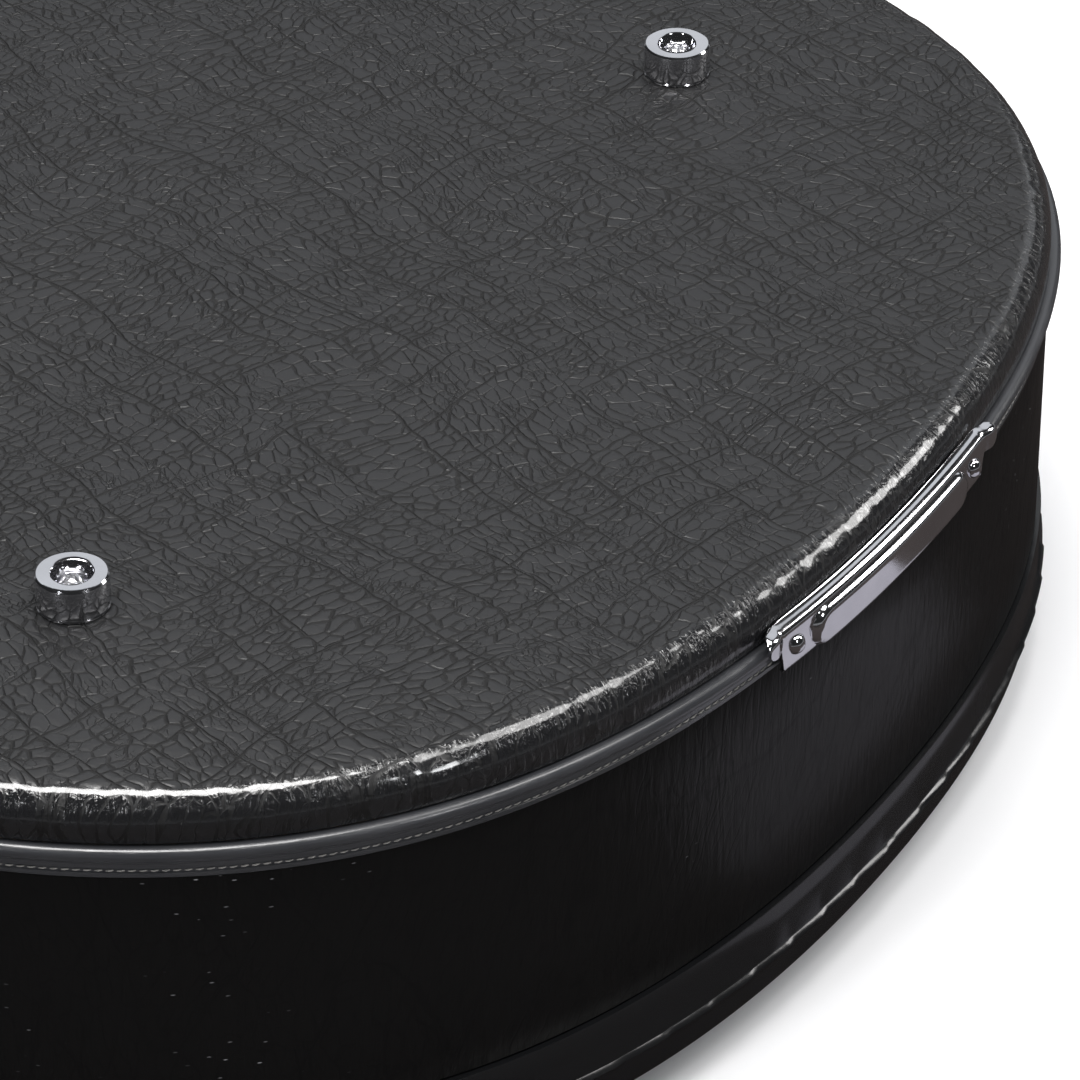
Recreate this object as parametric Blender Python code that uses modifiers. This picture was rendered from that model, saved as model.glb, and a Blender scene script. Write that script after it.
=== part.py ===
"""Acoustic guitar case, lying on its arched lid with the footed back turned up.

Metres, +Z up. +X points to the butt end and -Y is the side that carries the handle.
The origin is on the lid's flat crown, under the middle of the case's length.
The lid is the part that lies still. The deep shell above it swings up on the hinges.
"""

import math

import bmesh
import bpy
from mathutils import Matrix, Vector
from mathutils.geometry import interpolate_bezier

# Outline of the case, seen from above
CASE_LENGTH = 1.075
LOWER_BOUT_WIDTH = 0.444
LOWER_BOUT_FROM_BUTT = 0.212
WAIST_WIDTH = 0.314
WAIST_FROM_BUTT = 0.366
UPPER_BOUT_WIDTH = 0.340
UPPER_BOUT_FROM_BUTT = 0.466
NECK_WIDTH = 0.176
NECK_FROM_BUTT = 0.612
HEAD_WIDTH = 0.158
HEAD_CORNER_RADIUS = 0.032
BUTT_FLATNESS = 0.133
LOWER_BOUT_FULLNESS = 0.160

# Levels above the lid's crown
LID_ARCH = 0.008
BAND_BELOW_RIDGE = 0.012
BAND_ABOVE_RIDGE = 0.0145
SHELL_DEPTH = 0.0882
FOOT_HEIGHT = 0.0088
FOOT_DIAMETER = 0.017

# Walls and skins
GAP = 0.0003
SKIN = 0.0010
PLY_WALL = 0.0046
PLY_PANEL = 0.0044
PLY_EASE = 0.0012
PLY_SETBACK = 0.0004
BAND_PROUD = 0.0013
BAND_FOLD = 0.0083
BACK_EDGE_RADIUS = 0.0085
PIPING_TOP_DROP = 0.0106
PIPING_HEIGHT = 0.0085
PIPING_PROUD = 0.0026
PIPING_FLANGE = 0.0009
VALANCE_THICKNESS = 0.0027
VALANCE_BELOW_SEAM = 0.0076
VALANCE_ABOVE_SEAM = 0.0125

# Padding and fittings inside
BOLSTER_THICKNESS = 0.0175
BOLSTER_CROWN = 0.0030
BACK_PAD_THICKNESS = 0.0080
LID_PAD_THICKNESS = 0.0085
PAD_CLEARANCE = 0.0015
CRADLE_LENGTH = 0.042
CRADLE_FROM_BUTT = 0.612
CRADLE_HEIGHT = 0.070
NOTCH_WIDTH = 0.060
NOTCH_DEPTH = 0.022
BOX_LENGTH = 0.190
BOX_HEIGHT = 0.046
BOX_WALL = 0.005
FLAP_THICKNESS = 0.005
TAB_WIDTH = 0.020
TAB_SHEET = 0.0012
TAB_GLUED = 0.0060
TAB_HANG = 0.0117
TAB_LEAN = 0.0040

# Feet, piping joint plate
FEET_APART = 0.276
FEET_FROM_BUTT = 0.137
UPPER_FEET_APART = 0.200
PLATE_LENGTH = 0.097
PLATE_OFF_CENTRE = -0.011
PLATE_SHEET = 0.0010
RIB_PROUD = 0.0017
RIVET_DIAMETER = 0.0052
RIVET_HEIGHT = 0.0016

# Hinges, one at the lower bout and one near the head
HEAD_HINGE_FROM_HEAD = 0.085
HINGE_LENGTH = 0.050
HINGE_BARREL_RADIUS = 0.0030
HINGE_PIN_RADIUS = 0.0013
HINGE_LEAF = 0.0012
HINGE_LEAF_HEIGHT = 0.018
RUNNING_CLEARANCE = 0.0003
BULGE_STEPS = 60

# Draw latches at the lower bout, the upper bout, the neck and the middle of the head end
UPPER_LATCH_PAST_BOUT = 0.020
NECK_LATCH_FROM_HEAD = 0.225
LATCH_BASE_WIDTH = 0.0400
LATCH_BASE_HEIGHT = 0.0420
LATCH_BASE_CORNER = 0.0040
LATCH_BASE_ABOVE_SEAM = 0.0024
RIVET_INSET = 0.0045
LATCH_SHEET = 0.0012
LEVER_LENGTH = 0.0360
LEVER_WIDTH = 0.0160
LEVER_DEPTH = 0.0047
LATCH_PIVOT_ABOVE_SEAM = 0.0122
LATCH_PIVOT_OUT = 0.0045
LATCH_PIN_RADIUS = 0.0012
CLAW_PIN_ABOVE = 0.0070
CLAW_PIN_OUT = 0.0023
CLAW_LENGTH = 0.0314
CLAW_BRIDGE = -0.0048
CATCH_BESIDE_CLAW = 0.0070

# Handle
HANDLE_BEHIND_WAIST = 0.026
HANDLE_PIVOT_SPACING = 0.116
HANDLE_PIVOT_BELOW_BACK = 0.0390
HANDLE_PIVOT_OUT = 0.0100
HANDLE_PIN_RADIUS = 0.0018
GRIP_RADIUS = 0.0095
GRIP_TONGUE_RADIUS = 0.0048
GRIP_TONGUE_TOP = 0.0050
GRIP_DROP = 0.0330
BRACKET_SHEET = 0.0014
BRACKET_EAR = 0.0016
BRACKET_WIDTH = 0.0260
BRACKET_HEIGHT = 0.0340

# Levels and places that follow from the sizes above
BAND_BOTTOM = LID_ARCH
RIDGE = BAND_BOTTOM + BAND_BELOW_RIDGE
LID_TOP = RIDGE + BAND_ABOVE_RIDGE
SEAM = LID_TOP + GAP / 2
SHELL_BOTTOM = LID_TOP + GAP
BACK = SHELL_BOTTOM + SHELL_DEPTH
PLY_OFFSET = -SKIN - GAP
PANEL_TOP = BACK - SKIN - GAP
PANEL_BOTTOM = PANEL_TOP - PLY_PANEL
PIPING_TOP = BACK - PIPING_TOP_DROP
PIPING_BOTTOM = PIPING_TOP - PIPING_HEIGHT
PIPING_BEAD = PIPING_TOP - 0.0026
RIM_INSIDE = PLY_OFFSET - GAP - PLY_WALL
BUTT_X = CASE_LENGTH / 2
HEAD_X = -CASE_LENGTH / 2
LOWER_BOUT_X = BUTT_X - LOWER_BOUT_FROM_BUTT
WAIST_X = BUTT_X - WAIST_FROM_BUTT
UPPER_BOUT_X = BUTT_X - UPPER_BOUT_FROM_BUTT
NECK_X = BUTT_X - NECK_FROM_BUTT
HINGE_OUT = BAND_PROUD + HINGE_BARREL_RADIUS + 0.0011
EAR_IN = LEVER_WIDTH / 2 + 0.0018
CLAW_ARM_IN = LEVER_WIDTH / 2 + RUNNING_CLEARANCE
CLAW_ARM_OUT = CLAW_ARM_IN + LATCH_SHEET
CLAW_INSIDE = CLAW_PIN_OUT - LATCH_SHEET / 2
CLAW_TIP = CLAW_PIN_ABOVE - CLAW_LENGTH
ARCH_EDGE = -BAND_FOLD
ARCH = ((0.0, 1.0), (0.10, 0.45), (0.24, 0.13), (0.42, 0.0))


def half_outline():
    """Points from the butt centre round the +Y side to the head's centre."""
    lower = Vector((LOWER_BOUT_X, LOWER_BOUT_WIDTH / 2))
    waist = Vector((WAIST_X, WAIST_WIDTH / 2))
    upper = Vector((UPPER_BOUT_X, UPPER_BOUT_WIDTH / 2))
    neck = Vector((NECK_X, NECK_WIDTH / 2))
    corner = Vector((HEAD_X + HEAD_CORNER_RADIUS, HEAD_WIDTH / 2))
    end = Vector((HEAD_X, HEAD_WIDTH / 2 - HEAD_CORNER_RADIUS))
    along_neck = (corner - neck).normalized()
    to_waist = (lower.x - waist.x) * 0.45
    to_upper = (waist.x - upper.x) * 0.45
    to_neck = (upper.x - neck.x) * 0.44
    round_corner = HEAD_CORNER_RADIUS * 0.552
    runs = (
        ((BUTT_X, 0), (BUTT_X, BUTT_FLATNESS), lower + Vector((LOWER_BOUT_FULLNESS, 0)), lower, 10),
        (lower, lower - Vector((to_waist, 0)), waist + Vector((to_waist, 0)), waist, 5),
        (waist, waist - Vector((to_upper, 0)), upper + Vector((to_upper, 0)), upper, 4),
        (upper, upper - Vector((to_neck, 0)), neck - along_neck * to_neck, neck, 6),
        (neck, neck.lerp(corner, 0.33), neck.lerp(corner, 0.67), corner, 1),
        (corner, corner - Vector((round_corner, 0)), end + Vector((0, round_corner)), end, 3),
        (end, end.lerp(Vector((HEAD_X, 0)), 0.33), end.lerp(Vector((HEAD_X, 0)), 0.67), (HEAD_X, 0), 1),
    )
    points = []
    for start, start_handle, end_handle, stop, steps in runs:
        four = [Vector((p[0], p[1], 0)) for p in (start, start_handle, end_handle, stop)]
        points += [p.to_2d() for p in interpolate_bezier(*four, steps + 1)][:-1]
    return points + [Vector((HEAD_X, 0))]


def full_outline():
    half = half_outline()
    return half + [Vector((p.x, -p.y)) for p in reversed(half[1:-1])]


OUTLINE = full_outline()


def corner_normal(index):
    """Outward mitre direction at one outline point, scaled so that offsets keep their distance."""
    before, here, after = OUTLINE[index - 1], OUTLINE[index], OUTLINE[(index + 1) % len(OUTLINE)]
    first = Vector((here.y - before.y, before.x - here.x)).normalized()
    second = Vector((after.y - here.y, here.x - after.x)).normalized()
    middle = (first + second).normalized()
    return middle / middle.dot(first)


MITRES = [corner_normal(i) for i in range(len(OUTLINE))]


def ring_at(offset, level, draw_in=0.0):
    """The outline moved outwards by offset at one level, drawn in to the centre line by a share."""
    ring = []
    for point, mitre in zip(OUTLINE, MITRES):
        moved = point + mitre * offset
        ring.append(Vector((moved.x * (1 - 0.35 * draw_in), moved.y * (1 - draw_in), level)))
    return ring


def loft(rings, closed=False, caps=True):
    """Mesh through equal rings of points, closed on itself or capped at both ends."""
    mesh = bmesh.new()
    rows = [[mesh.verts.new(point) for point in ring] for ring in rings]
    count = len(rows[0])
    pairs = list(zip(rows, rows[1:]))
    if closed:
        pairs.append((rows[-1], rows[0]))
    for low, high in pairs:
        for i in range(count):
            j = (i + 1) % count
            mesh.faces.new((low[i], low[j], high[j], high[i]))
    if caps and not closed:
        mesh.faces.new(list(reversed(rows[0])))
        mesh.faces.new(rows[-1])
    bmesh.ops.recalc_face_normals(mesh, faces=mesh.faces)
    return finish_mesh(mesh)


def finish_mesh(mesh):
    data = bpy.data.meshes.new("piece")
    mesh.to_mesh(data)
    mesh.free()
    return data


def wrap(profile):
    """Ring with a closed section, given as (offset, level) points, carried round the outline."""
    return loft([ring_at(*point) for point in profile], closed=True)


def tray(profile):
    """Solid between a first and a last ring that are both filled, such as a panel or a cover."""
    return loft([ring_at(*point) for point in profile])


def block(size, centre):
    mesh = bmesh.new()
    bmesh.ops.create_cube(mesh, size=1.0)
    bmesh.ops.scale(mesh, vec=size, verts=mesh.verts)
    bmesh.ops.translate(mesh, vec=centre, verts=mesh.verts)
    return finish_mesh(mesh)


def rod(radius, length, centre, sides=12, axis="X", far_radius=None):
    """Cylinder or cone centred on a point and lying along one axis."""
    mesh = bmesh.new()
    far = radius if far_radius is None else far_radius
    bmesh.ops.create_cone(mesh, cap_ends=True, segments=sides, radius1=radius, radius2=far, depth=length)
    turn = {"X": Matrix.Rotation(math.pi / 2, 3, "Y"), "Y": Matrix.Rotation(-math.pi / 2, 3, "X"),
            "Z": Matrix.Identity(3)}[axis]
    bmesh.ops.rotate(mesh, matrix=turn, verts=mesh.verts)
    bmesh.ops.translate(mesh, vec=centre, verts=mesh.verts)
    return finish_mesh(mesh)


def extruded(points, thickness, axis="Y", start=0.0):
    """Flat outline pushed through a thickness. Points are (x, z) for Y and (y, z) for X."""
    mesh = bmesh.new()
    if axis == "Y":
        corners = [(a, start, b) for a, b in points]
        push = (0, thickness, 0)
    else:
        corners = [(start, a, b) for a, b in points]
        push = (thickness, 0, 0)
    face = mesh.faces.new([mesh.verts.new(c) for c in corners])
    grown = bmesh.ops.extrude_face_region(mesh, geom=[face])
    moved = [item for item in grown["geom"] if isinstance(item, bmesh.types.BMVert)]
    bmesh.ops.translate(mesh, vec=push, verts=moved)
    bmesh.ops.recalc_face_normals(mesh, faces=mesh.faces)
    return finish_mesh(mesh)


def rounded(width, height, radius, centre=(0.0, 0.0), steps=2):
    """Rounded rectangle as a list of points."""
    points = []
    for number, (sx, sz) in enumerate(((1, 1), (-1, 1), (-1, -1), (1, -1))):
        for step in range(steps + 1):
            angle = math.radians(90 * number + 90 * step / steps)
            points.append((centre[0] + sx * (width / 2 - radius) + radius * math.cos(angle),
                           centre[1] + sz * (height / 2 - radius) + radius * math.sin(angle)))
    return points


def boolean(data, others, operation):
    """One closed mesh from a mesh and the meshes joined to it or cut from it."""
    host = bpy.data.objects.new("host", data)
    bpy.context.scene.collection.objects.link(host)
    helpers = []
    for other in others:
        helper = bpy.data.objects.new("helper", other)
        bpy.context.scene.collection.objects.link(helper)
        modifier = host.modifiers.new(operation.title(), "BOOLEAN")
        modifier.operation = operation
        modifier.object = helper
        helpers.append(helper)
    seen = host.evaluated_get(bpy.context.evaluated_depsgraph_get())
    mesh = bmesh.new()
    mesh.from_mesh(bpy.data.meshes.new_from_object(seen))
    for spare in [host] + helpers:
        bpy.data.objects.remove(spare)
    bmesh.ops.triangulate(mesh, faces=[face for face in mesh.faces if len(face.verts) > 4])
    return finish_mesh(mesh)


def fuse(first, *others):
    return boolean(first, others, "UNION")


def carve(first, *cutters):
    return boolean(first, cutters, "DIFFERENCE")


def finish(name, colour, roughness, metallic=0.0):
    material = bpy.data.materials.new(name)
    material.use_nodes = True
    shader = material.node_tree.nodes["Principled BSDF"]
    shader.inputs["Base Color"].default_value = (*colour, 1)
    shader.inputs["Roughness"].default_value = roughness
    shader.inputs["Metallic"].default_value = metallic
    material.diffuse_color = (*colour, 1)
    return material


def place(name, data, material, spot=(0, 0, 0), turn=0.0, pivot=None, smooth=40):
    """Put a mesh in the case as one named sub-part, hung on a pivot where it moves."""
    piece = bpy.data.objects.new(name, data)
    CASE.objects.link(piece)
    piece.location = spot
    piece.rotation_euler = (0, 0, turn)
    data.materials.clear()
    data.materials.append(material)
    data.shade_smooth()
    data.set_sharp_from_angle(angle=math.radians(smooth))
    if pivot:
        piece.parent = pivot
        piece.matrix_parent_inverse = pivot.matrix_world.inverted()
    return piece


def pivot_at(name, spot, parent=None):
    empty = bpy.data.objects.new(name, None)
    CASE.objects.link(empty)
    empty.location = spot
    empty.empty_display_size = 0.03
    bpy.context.view_layer.update()
    if parent:
        empty.parent = parent
        empty.matrix_parent_inverse = parent.matrix_world.inverted()
        bpy.context.view_layer.update()
    return empty


def farthest(points, direction):
    return max(points, key=lambda p: p.dot(direction))


def hinge_line():
    """Point and direction of the line that touches the lower bout and the head on the hinge side."""
    side = [p for p in OUTLINE if p.y > 0]
    lower_side = [p for p in side if p.x > WAIST_X]
    head_side = [p for p in side if p.x < WAIST_X]
    outward = Vector((0, 1))
    for _ in range(6):
        lower, upper = farthest(lower_side, outward), farthest(head_side, outward)
        along = (upper - lower).normalized()
        outward = Vector((along.y, -along.x))
    return lower + outward * HINGE_OUT, along


def wall_y(x):
    """Half width of the case at one station along it."""
    half = [p for p in OUTLINE if p.y >= 0]
    for first, second in zip(half, half[1:]):
        if second.x <= x <= first.x and first.x - second.x > 1e-6:
            return first.lerp(second, (first.x - x) / (first.x - second.x)).y
    raise ValueError("the station lies beyond the case")


def wall_spot(x, side, reach):
    """Wall point at one station along the case, and the wall's turn about Z there."""
    slope = (wall_y(x + reach) - wall_y(x - reach)) / (2 * reach)
    point = Vector((x, wall_y(x) * side))
    return point, math.atan2(side, -slope) - math.pi / 2


def bulge(point, turn, half_width):
    """How far the wall stands out past its middle within a flat plate's width."""
    level = Matrix.Rotation(-turn, 2)
    most = 0.0
    for index, start in enumerate(OUTLINE):
        stop = OUTLINE[(index + 1) % len(OUTLINE)]
        for step in range(BULGE_STEPS):
            spot = level @ (start.lerp(stop, step / BULGE_STEPS) - point)
            if abs(spot.x) <= half_width and abs(spot.y) < half_width:
                most = max(most, spot.y)
    return most


def lid_arch(lift):
    """Rings of the lid's arch, from the edge of its cover to the flat crown on which the case lies."""
    return [(ARCH_EDGE, LID_ARCH * share + lift, draw_in) for draw_in, share in ARCH]


def make_lid(finishes):
    """Arched lid: plywood rim and panel, vinyl face, moulded edge band and plush pad."""
    ply, vinyl, band, plush = (finishes[n] for n in ("plywood", "vinyl", "band", "plush"))
    place("lid_cover", tray(lid_arch(0.0)[::-1] + lid_arch(SKIN)), vinyl)

    section = [
        (BAND_PROUD, LID_TOP), (BAND_PROUD, RIDGE + 0.0016), (BAND_PROUD + 0.0008, RIDGE + 0.0006),
        (BAND_PROUD + 0.0008, RIDGE - 0.0006), (BAND_PROUD - 0.0002, RIDGE - 0.0016),
        (-0.0006, BAND_BOTTOM + 0.0032), (-0.0034, BAND_BOTTOM + 0.0003),
        (ARCH_EDGE + GAP, BAND_BOTTOM + 0.0001), (ARCH_EDGE + GAP, BAND_BOTTOM + SKIN - 0.0001),
        (-0.0044, BAND_BOTTOM + 0.0012), (-SKIN, BAND_BOTTOM + 0.0044), (-SKIN, LID_TOP)]
    place("lid_band", wrap(section), band)

    lift = SKIN + GAP
    top = BAND_BOTTOM + lift + PLY_PANEL
    edge = [(-0.0048, BAND_BOTTOM + 0.0016), (PLY_OFFSET - 0.0006, BAND_BOTTOM + 0.0046),
            (PLY_OFFSET - 0.0006, top)]
    place("lid_panel", tray(lid_arch(lift)[::-1] + edge + lid_arch(lift + PLY_PANEL)), ply)

    rim_inner = PLY_OFFSET - PLY_WALL + 0.0006
    foot, head = top + GAP, LID_TOP - PLY_SETBACK
    rim = [(PLY_OFFSET, head), (PLY_OFFSET, foot), (rim_inner, foot), (rim_inner, head)]
    place("lid_rim", wrap(rim), ply)

    side = rim_inner - GAP
    pad_lift = lift + PLY_PANEL + GAP
    pad_top = top + GAP + LID_PAD_THICKNESS
    pad = [(side, top + 0.0030), (side - 0.0010, pad_top - 0.0030), (side - 0.0080, pad_top - 0.0004),
           (side - 0.0300, pad_top + 0.0006)]
    place("lid_pad", tray(lid_arch(pad_lift)[::-1] + pad), plush)


def back_edge(radius, steps=3):
    """Quarter round of the back's edge, from the flat face down to the wall, as (offset, level)."""
    middle = BACK - BACK_EDGE_RADIUS
    turns = [math.radians(90 - 90 * i / steps) for i in range(steps + 1)]
    return [(-BACK_EDGE_RADIUS + radius * math.cos(t), middle + radius * math.sin(t)) for t in turns]


def make_shell(finishes, hang):
    """Deep shell: plywood walls and back under vinyl, sewn together with piping."""
    ply, vinyl, pvc = (finishes[n] for n in ("plywood", "vinyl", "piping"))
    rim_outer = PLY_OFFSET - GAP
    rim_top, rim_foot = PANEL_BOTTOM - GAP, SHELL_BOTTOM + PLY_SETBACK
    rim = [(rim_outer - PLY_EASE, rim_top), (rim_outer, rim_top - 2.5 * PLY_EASE), (rim_outer, rim_foot),
           (RIM_INSIDE, rim_foot), (RIM_INSIDE, rim_top)]
    place("shell_rim", wrap(rim), ply, pivot=hang)

    bead_top = PIPING_BEAD + 0.0018
    cover_bottom = bead_top + GAP
    cover = back_edge(BACK_EDGE_RADIUS) + [(0.0, cover_bottom), (-SKIN, cover_bottom)]
    cover += list(reversed(back_edge(BACK_EDGE_RADIUS - SKIN)))
    place("back_cover", tray(cover), vinyl, pivot=hang)

    panel = [p for p in back_edge(BACK_EDGE_RADIUS - SKIN - GAP) if p[1] > PANEL_BOTTOM + 0.0004]
    place("back_panel", tray(panel + [(panel[-1][0], PANEL_BOTTOM)]), ply, pivot=hang)

    side_top = PIPING_BEAD - 0.0024
    side = [(0.0, side_top), (0.0, SHELL_BOTTOM), (-SKIN, SHELL_BOTTOM), (-SKIN, side_top)]
    place("side_cover", wrap(side), vinyl, pivot=hang)

    flange_top = PIPING_BEAD - 0.0019
    piping = [(GAP, PIPING_BOTTOM), (GAP + PIPING_FLANGE, PIPING_BOTTOM), (GAP + PIPING_FLANGE, flange_top),
              (PIPING_PROUD, PIPING_BEAD - 0.0009), (PIPING_PROUD, PIPING_BEAD + 0.0006),
              (0.0014, bead_top), (-SKIN, bead_top - 0.0005),
              (-SKIN, side_top + GAP), (GAP, side_top + GAP)]
    place("edge_piping", wrap(piping), pvc, pivot=hang)

    inner = RIM_INSIDE - GAP
    top, bottom = SHELL_BOTTOM + VALANCE_ABOVE_SEAM, SHELL_BOTTOM - VALANCE_BELOW_SEAM
    back = inner - VALANCE_THICKNESS
    place("seam_valance", wrap([(inner, top), (inner, bottom + 0.0010), (inner - 0.0008, bottom),
                                (back, bottom), (back, top)]), finishes["valance"], pivot=hang)


def make_padding(finishes, hang):
    """Plush-covered padding that forms the guitar's bed in the deep shell."""
    plush = finishes["plush"]
    ceiling = PANEL_BOTTOM - GAP
    wall = RIM_INSIDE - GAP
    face = wall - BOLSTER_THICKNESS
    low = SHELL_BOTTOM + VALANCE_ABOVE_SEAM + GAP
    middle = (low + ceiling) / 2
    bolster = [(wall, ceiling), (wall, low), (wall - 0.0110, low), (face, low + 0.0080),
               (face - BOLSTER_CROWN, middle), (face, ceiling - 0.0110), (face, ceiling)]
    place("side_bolster", wrap(bolster), plush, pivot=hang)

    edge = face - PAD_CLEARANCE
    pad_low = ceiling - BACK_PAD_THICKNESS
    pad = [(edge - 0.0300, pad_low - 0.0010), (edge - 0.0080, pad_low), (edge - 0.0014, pad_low + 0.0024),
           (edge, pad_low + 0.0056), (edge - 0.0010, ceiling)]
    place("back_pad", tray(list(reversed(pad))), plush, pivot=hang)
    return face, pad_low


def make_neck_fittings(finishes, hang, face, pad_low):
    """Neck cradle, accessory box and its flap across the neck channel."""
    plush, ribbon = finishes["plush"], finishes["ribbon"]
    channel = wall_y(BUTT_X - CRADLE_FROM_BUTT - CRADLE_LENGTH - BOX_LENGTH) + face - BOLSTER_CROWN
    half = channel - 2 * PAD_CLEARANCE
    top = pad_low - 0.0012
    cradle_x = BUTT_X - CRADLE_FROM_BUTT - CRADLE_LENGTH / 2
    low = top - CRADLE_HEIGHT + BACK_PAD_THICKNESS
    notch_top = low + NOTCH_DEPTH
    radius = NOTCH_DEPTH * 0.7
    side = -NOTCH_WIDTH / 2
    points = [(half, top), (-half, top), (-half, low + 0.006), (-half + 0.006, low),
              (side - 0.005, low), (side, low + 0.006)]
    for step in range(5):
        angle = math.radians(180 - 22.5 * step)
        across, up = side + radius, notch_top - radius
        points.append((across + radius * math.cos(angle), up + radius * math.sin(angle)))
    mirrored = [(-y, z) for y, z in reversed(points[2:])]
    outline = points + mirrored
    cradle = extruded(outline, CRADLE_LENGTH, axis="X", start=-CRADLE_LENGTH / 2)
    piece = place("neck_cradle", cradle, plush, spot=(cradle_x, 0, 0), pivot=hang)
    soften = piece.modifiers.new("Rounded edges", "BEVEL")
    soften.width = 0.003
    soften.segments = 1
    soften.limit_method = "ANGLE"
    soften.angle_limit = math.radians(60)

    box_x = cradle_x - CRADLE_LENGTH / 2 - GAP - BOX_LENGTH / 2
    box_low = top - BOX_HEIGHT
    outer = block((BOX_LENGTH, 2 * half, BOX_HEIGHT), (0, 0, top - BOX_HEIGHT / 2))
    hollow = block((BOX_LENGTH - 2 * BOX_WALL, 2 * half - 2 * BOX_WALL, BOX_HEIGHT),
                   (0, 0, top - BOX_HEIGHT / 2 - BOX_WALL))
    place("accessory_box", carve(outer, hollow), plush, spot=(box_x, 0, 0), pivot=hang)

    hinge_y = half - BOX_WALL / 2
    hinge_z = box_low - GAP - FLAP_THICKNESS / 2
    flap_axis = pivot_at("flap_pivot", (box_x, hinge_y, hinge_z), hang)
    flap_low = -FLAP_THICKNESS / 2
    reach = 2 * half - BOX_WALL / 2 - 0.001
    section = [(0.0, flap_low), (FLAP_THICKNESS * 0.35, flap_low * 0.7), (FLAP_THICKNESS / 2, 0.0),
               (FLAP_THICKNESS * 0.35, -flap_low * 0.7), (0.0, -flap_low),
               (-reach + 0.0015, -flap_low), (-reach, 0.0), (-reach + 0.0015, flap_low)]
    flap = extruded(section, BOX_LENGTH - 0.002, axis="X", start=-BOX_LENGTH / 2 + 0.001)
    place("accessory_flap", flap, plush, spot=(box_x, hinge_y, hinge_z), pivot=flap_axis)
    tab = tab_section(-reach, flap_low - GAP)
    place("flap_tab", extruded(tab, TAB_WIDTH, axis="X", start=-TAB_WIDTH / 2), ribbon,
          spot=(box_x, hinge_y, hinge_z), pivot=flap_axis)


def tab_section(free_edge, seat):
    """Ribbon glued under the flap near its free edge, whose end hangs clear as a pull tab."""
    glued = free_edge + TAB_LEAN
    tip = seat - TAB_HANG
    return [(glued + TAB_GLUED, seat), (glued + TAB_GLUED, seat - TAB_SHEET),
            (glued + TAB_SHEET * 0.7, seat - TAB_SHEET), (free_edge + TAB_SHEET, tip),
            (free_edge, tip), (glued, seat)]


def turned(profile, sides):
    """Solid of revolution about Z from (radius, height) points, outer side from top to bottom."""
    mesh = bmesh.new()
    verts = [mesh.verts.new((r, 0, z)) for r, z in profile]
    for first, second in zip(verts, verts[1:]):
        mesh.edges.new((first, second))
    host = bpy.data.objects.new("profile", finish_mesh(mesh))
    bpy.context.scene.collection.objects.link(host)
    screw = host.modifiers.new("Turn", "SCREW")
    screw.steps = sides
    screw.render_steps = sides
    screw.use_merge_vertices = True
    screw.merge_threshold = 0.00001
    seen = host.evaluated_get(bpy.context.evaluated_depsgraph_get())
    data = bpy.data.meshes.new_from_object(seen)
    bpy.data.objects.remove(host)
    return data


def make_feet(finishes, hang):
    """Four turned steel feet, each with a countersunk well that holds a domed screw."""
    radius = FOOT_DIAMETER / 2
    well = radius * 0.56
    floor = FOOT_HEIGHT * 0.45
    base = GAP
    profile = [(0.0, floor), (well * 0.70, floor), (well, FOOT_HEIGHT - 0.0004),
               (well + 0.0005, FOOT_HEIGHT), (radius - 0.0007, FOOT_HEIGHT), (radius, FOOT_HEIGHT - 0.0007),
               (radius, base), (0.0, base)]
    mesh = turned(profile, 16)
    screw_top = FOOT_HEIGHT - 0.0012
    head = [(0.0, screw_top), (well * 0.34, screw_top - 0.0004), (well * 0.60, screw_top - 0.0016),
            (well * 0.60, floor + GAP), (0.0, floor + GAP)]
    spots = [(BUTT_X - FEET_FROM_BUTT, sign * FEET_APART / 2) for sign in (-1, 1)]
    spots += [(UPPER_BOUT_X, sign * UPPER_FEET_APART / 2) for sign in (-1, 1)]
    screw = turned(head, 10)
    for number, (x, y) in enumerate(spots, 1):
        place(f"foot_{number}", mesh.copy(), finishes["chrome"], spot=(x, y, BACK), pivot=hang)
        place(f"foot_screw_{number}", screw.copy(), finishes["steel"], spot=(x, y, BACK), pivot=hang)


def outline_walk():
    """Butt-end outline as (distance from the centre line along the wall, point, mitre)."""
    count = len(OUTLINE)
    walk = []
    for direction in (1, -1):
        travelled = 0.0
        for step in range(0, 8):
            i, j = (direction * step) % count, (direction * (step + 1)) % count
            walk.append((direction * travelled, OUTLINE[i], MITRES[i]))
            travelled += (OUTLINE[j] - OUTLINE[i]).length
    return sorted(walk[1:], key=lambda item: item[0])


def butt_point(along, offset):
    """Point on the butt's wall at a distance along it from the centre line."""
    walk = outline_walk()
    for (a, p, m), (b, q, n) in zip(walk, walk[1:]):
        if a <= along <= b:
            share = (along - a) / (b - a)
            return p.lerp(q, share) + m.lerp(n, share) * offset
    raise ValueError("the plate is longer than the butt end")


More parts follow.
